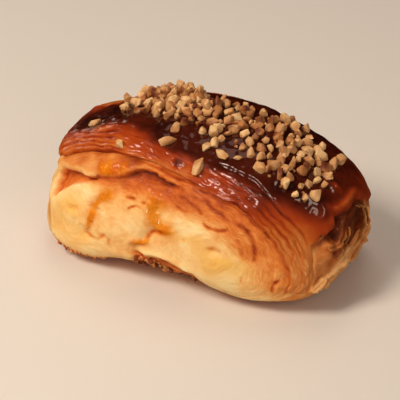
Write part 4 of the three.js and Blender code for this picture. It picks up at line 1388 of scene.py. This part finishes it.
def doughColour(f):        # colour of the dough, how wet it is, the share of jelly, and its fine streaks
    look = dough["look"]
    tone, layers, cream = f.mask("tone"), f.mask("layers"), f.mask("cream")
    broad, fine = f.streaks(layers, 0.9, 3), f.streaks(layers, 0.4, 1.6, 3)
    dry = f.mask("dry")
    lines = (0.09 + 0.22 * tone) * (broad - 0.5) + (0.19 + 0.14 * tone) * (fine - 0.5)
    share = tone + (1 - 0.6 * dry) * lines
    share = share + 0.16 * (f.noise(5, 4) - 0.5) + 0.11 * (f.noise(1.1, 3) - 0.5)
    colour = f.ramp(share.clamped(), look["soft"])
    colour = f.mix(dry, colour, f.ramp(share.clamped(), look["dry"]))
    pale = (cream * (1 - 1.6 * tone)).clamped()
    colour = f.mix(pale * 0.75, colour, look["cream"])
    jelly = (f.mask("jelly") * (0.75 + 0.8 * f.noise(3, 3))).clamped()
    deep = (f.noise(4) + 0.9 * tone - 0.15).clamped()
    colour = f.mix(jelly * 0.95, colour, f.mix(deep, look["jelly"], look["deepJelly"]))
    wet = (jelly + 0.3 * pale + 0.5 * dry * tone).clamped()
    return colour, wet, jelly, broad * 0.5 + fine * 0.5


def doughFinish():
    f = Finish("bakedDough")
    colour, wet, jelly, grain = doughColour(f)
    height = (1 - jelly) * (grain * 0.55 + f.noise(0.6, 3) * 0.35)
    height = height + f.noise(2.4, 3) * 0.3 + jelly * f.noise(1.8, 2) * 4
    return f.set(
        base_color=colour, roughness=(0.55 - 0.4 * wet).clamped(),
        coat_weight=(0.06 + 0.9 * wet).clamped(), normal=f.bump(height, 0.7, 0.35),
        **dough["look"]["surface"],
    )


def crustFinish():
    f = Finish("glazedCrust")
    tone, glaze, layers, streaky = f.mask("tone"), f.mask("glaze"), f.mask("layers"), f.mask("streaky")
    broad, fine = f.streaks(layers, 0.9, 6), f.streaks(layers, 0.3, 2.2)
    lines = (broad - 0.5) * 0.17 + (fine - 0.5) * 0.17
    share = tone + streaky * lines + 0.16 * (f.noise(4, 4) - 0.5)
    colour = f.ramp(share.clamped(), crust["look"]["tones"])
    wrinkles = f.noise(1.4, 2) * 0.12 + f.noise(3.4, 2) * (0.4 + 0.6 * glaze)
    height = wrinkles + streaky * (broad * 0.25 + fine * 0.08)
    return f.set(
        base_color=colour, roughness=(0.46 - 0.2 * glaze).clamped(),
        coat_weight=(0.2 + 0.8 * glaze).clamped(), normal=f.bump(height, 0.7, 0.45),
        **crust["look"]["surface"],
    )


def custardFinish():
    f, look = Finish("custard"), strands["look"]
    colour, _, _, grain = doughColour(f)
    yellow = f.mix(f.noise(3, 3), look["yellow"], look["deepYellow"])
    colour = f.mix(f.mask("core") * 0.75, colour, yellow)
    return f.set(
        base_color=colour, roughness=0.4 + 0.2 * f.noise(1.5),
        normal=f.bump(f.noise(0.9, 3) * 0.7 + grain * 0.15, 0.5, 0.3), **look["surface"],
    )


def nutFinish():
    f, look = Finish("toastedNut"), nuts["look"]
    tone, cut = f.mask("tone"), f.mask("cut")
    speckle = f.noise(0.8, 3)
    flesh = f.mix((tone + 0.9 * (speckle - 0.45)).clamped(), look["flesh"], look["darkFlesh"])
    deep = (1.5 * tone ** 3 + 0.9 * (f.noise(1.6) - 0.4)).clamped()
    toasted = f.mix(deep, f.mix(tone, look["skin"], look["darkSkin"]), look["toasted"])
    colour = f.mix((cut * 1.1 - 0.5 * f.noise(2)).clamped(), toasted, flesh)
    return f.set(
        base_color=colour, roughness=0.36 + 0.2 * speckle,
        normal=f.bump(speckle * 0.6 + f.noise(0.3, 2) * 0.4, 0.5, 0.2), **look["surface"],
    )


def scrapFinish(name, colours):        # flakes and crumbs, each in its own shade
    f = Finish(name)
    share = f.mask("tone") + 0.4 * (f.noise(1.2, 3) - 0.5)
    return f.set(
        base_color=f.ramp(share.clamped(), colours), roughness=0.5 + 0.2 * f.noise(0.8),
        specular_ior_level=0.25, normal=f.bump(f.noise(0.5, 3), 0.5, 0.2),
    )


def floorFinish():
    f = Finish("paleFloor")
    return f.set(base_color=tint(*studio["floorColour"]), roughness=0.6 + 0.1 * f.noise(30))


floor = makeStudio()
floor.data.materials.append(floorFinish())
print("studio ready")

doughPiece = makeDough(doughFinish())
hold(doughPiece, "crust", "pastry")
crustPiece = makeCrust(crustFinish())
hold(crustPiece, "crust", "pastry")
custard = custardFinish()
for strand in strands["places"]:
    hold(makeStrand(strand, custard), "custard", strand)
bits = scatterTree()
hold(makeNuts(crustPiece, bits, nutFinish()), "crust", "pastry")
ground = meshTree(doughPiece)
hold(makeFlaps(ground, scrapFinish("tornLayer", flaps["colours"])), "crust", "pastry")
hold(makeCrumbs(ground, bits, scrapFinish("brownedCrumb", crumbs["colours"])), "crust", "pastry")
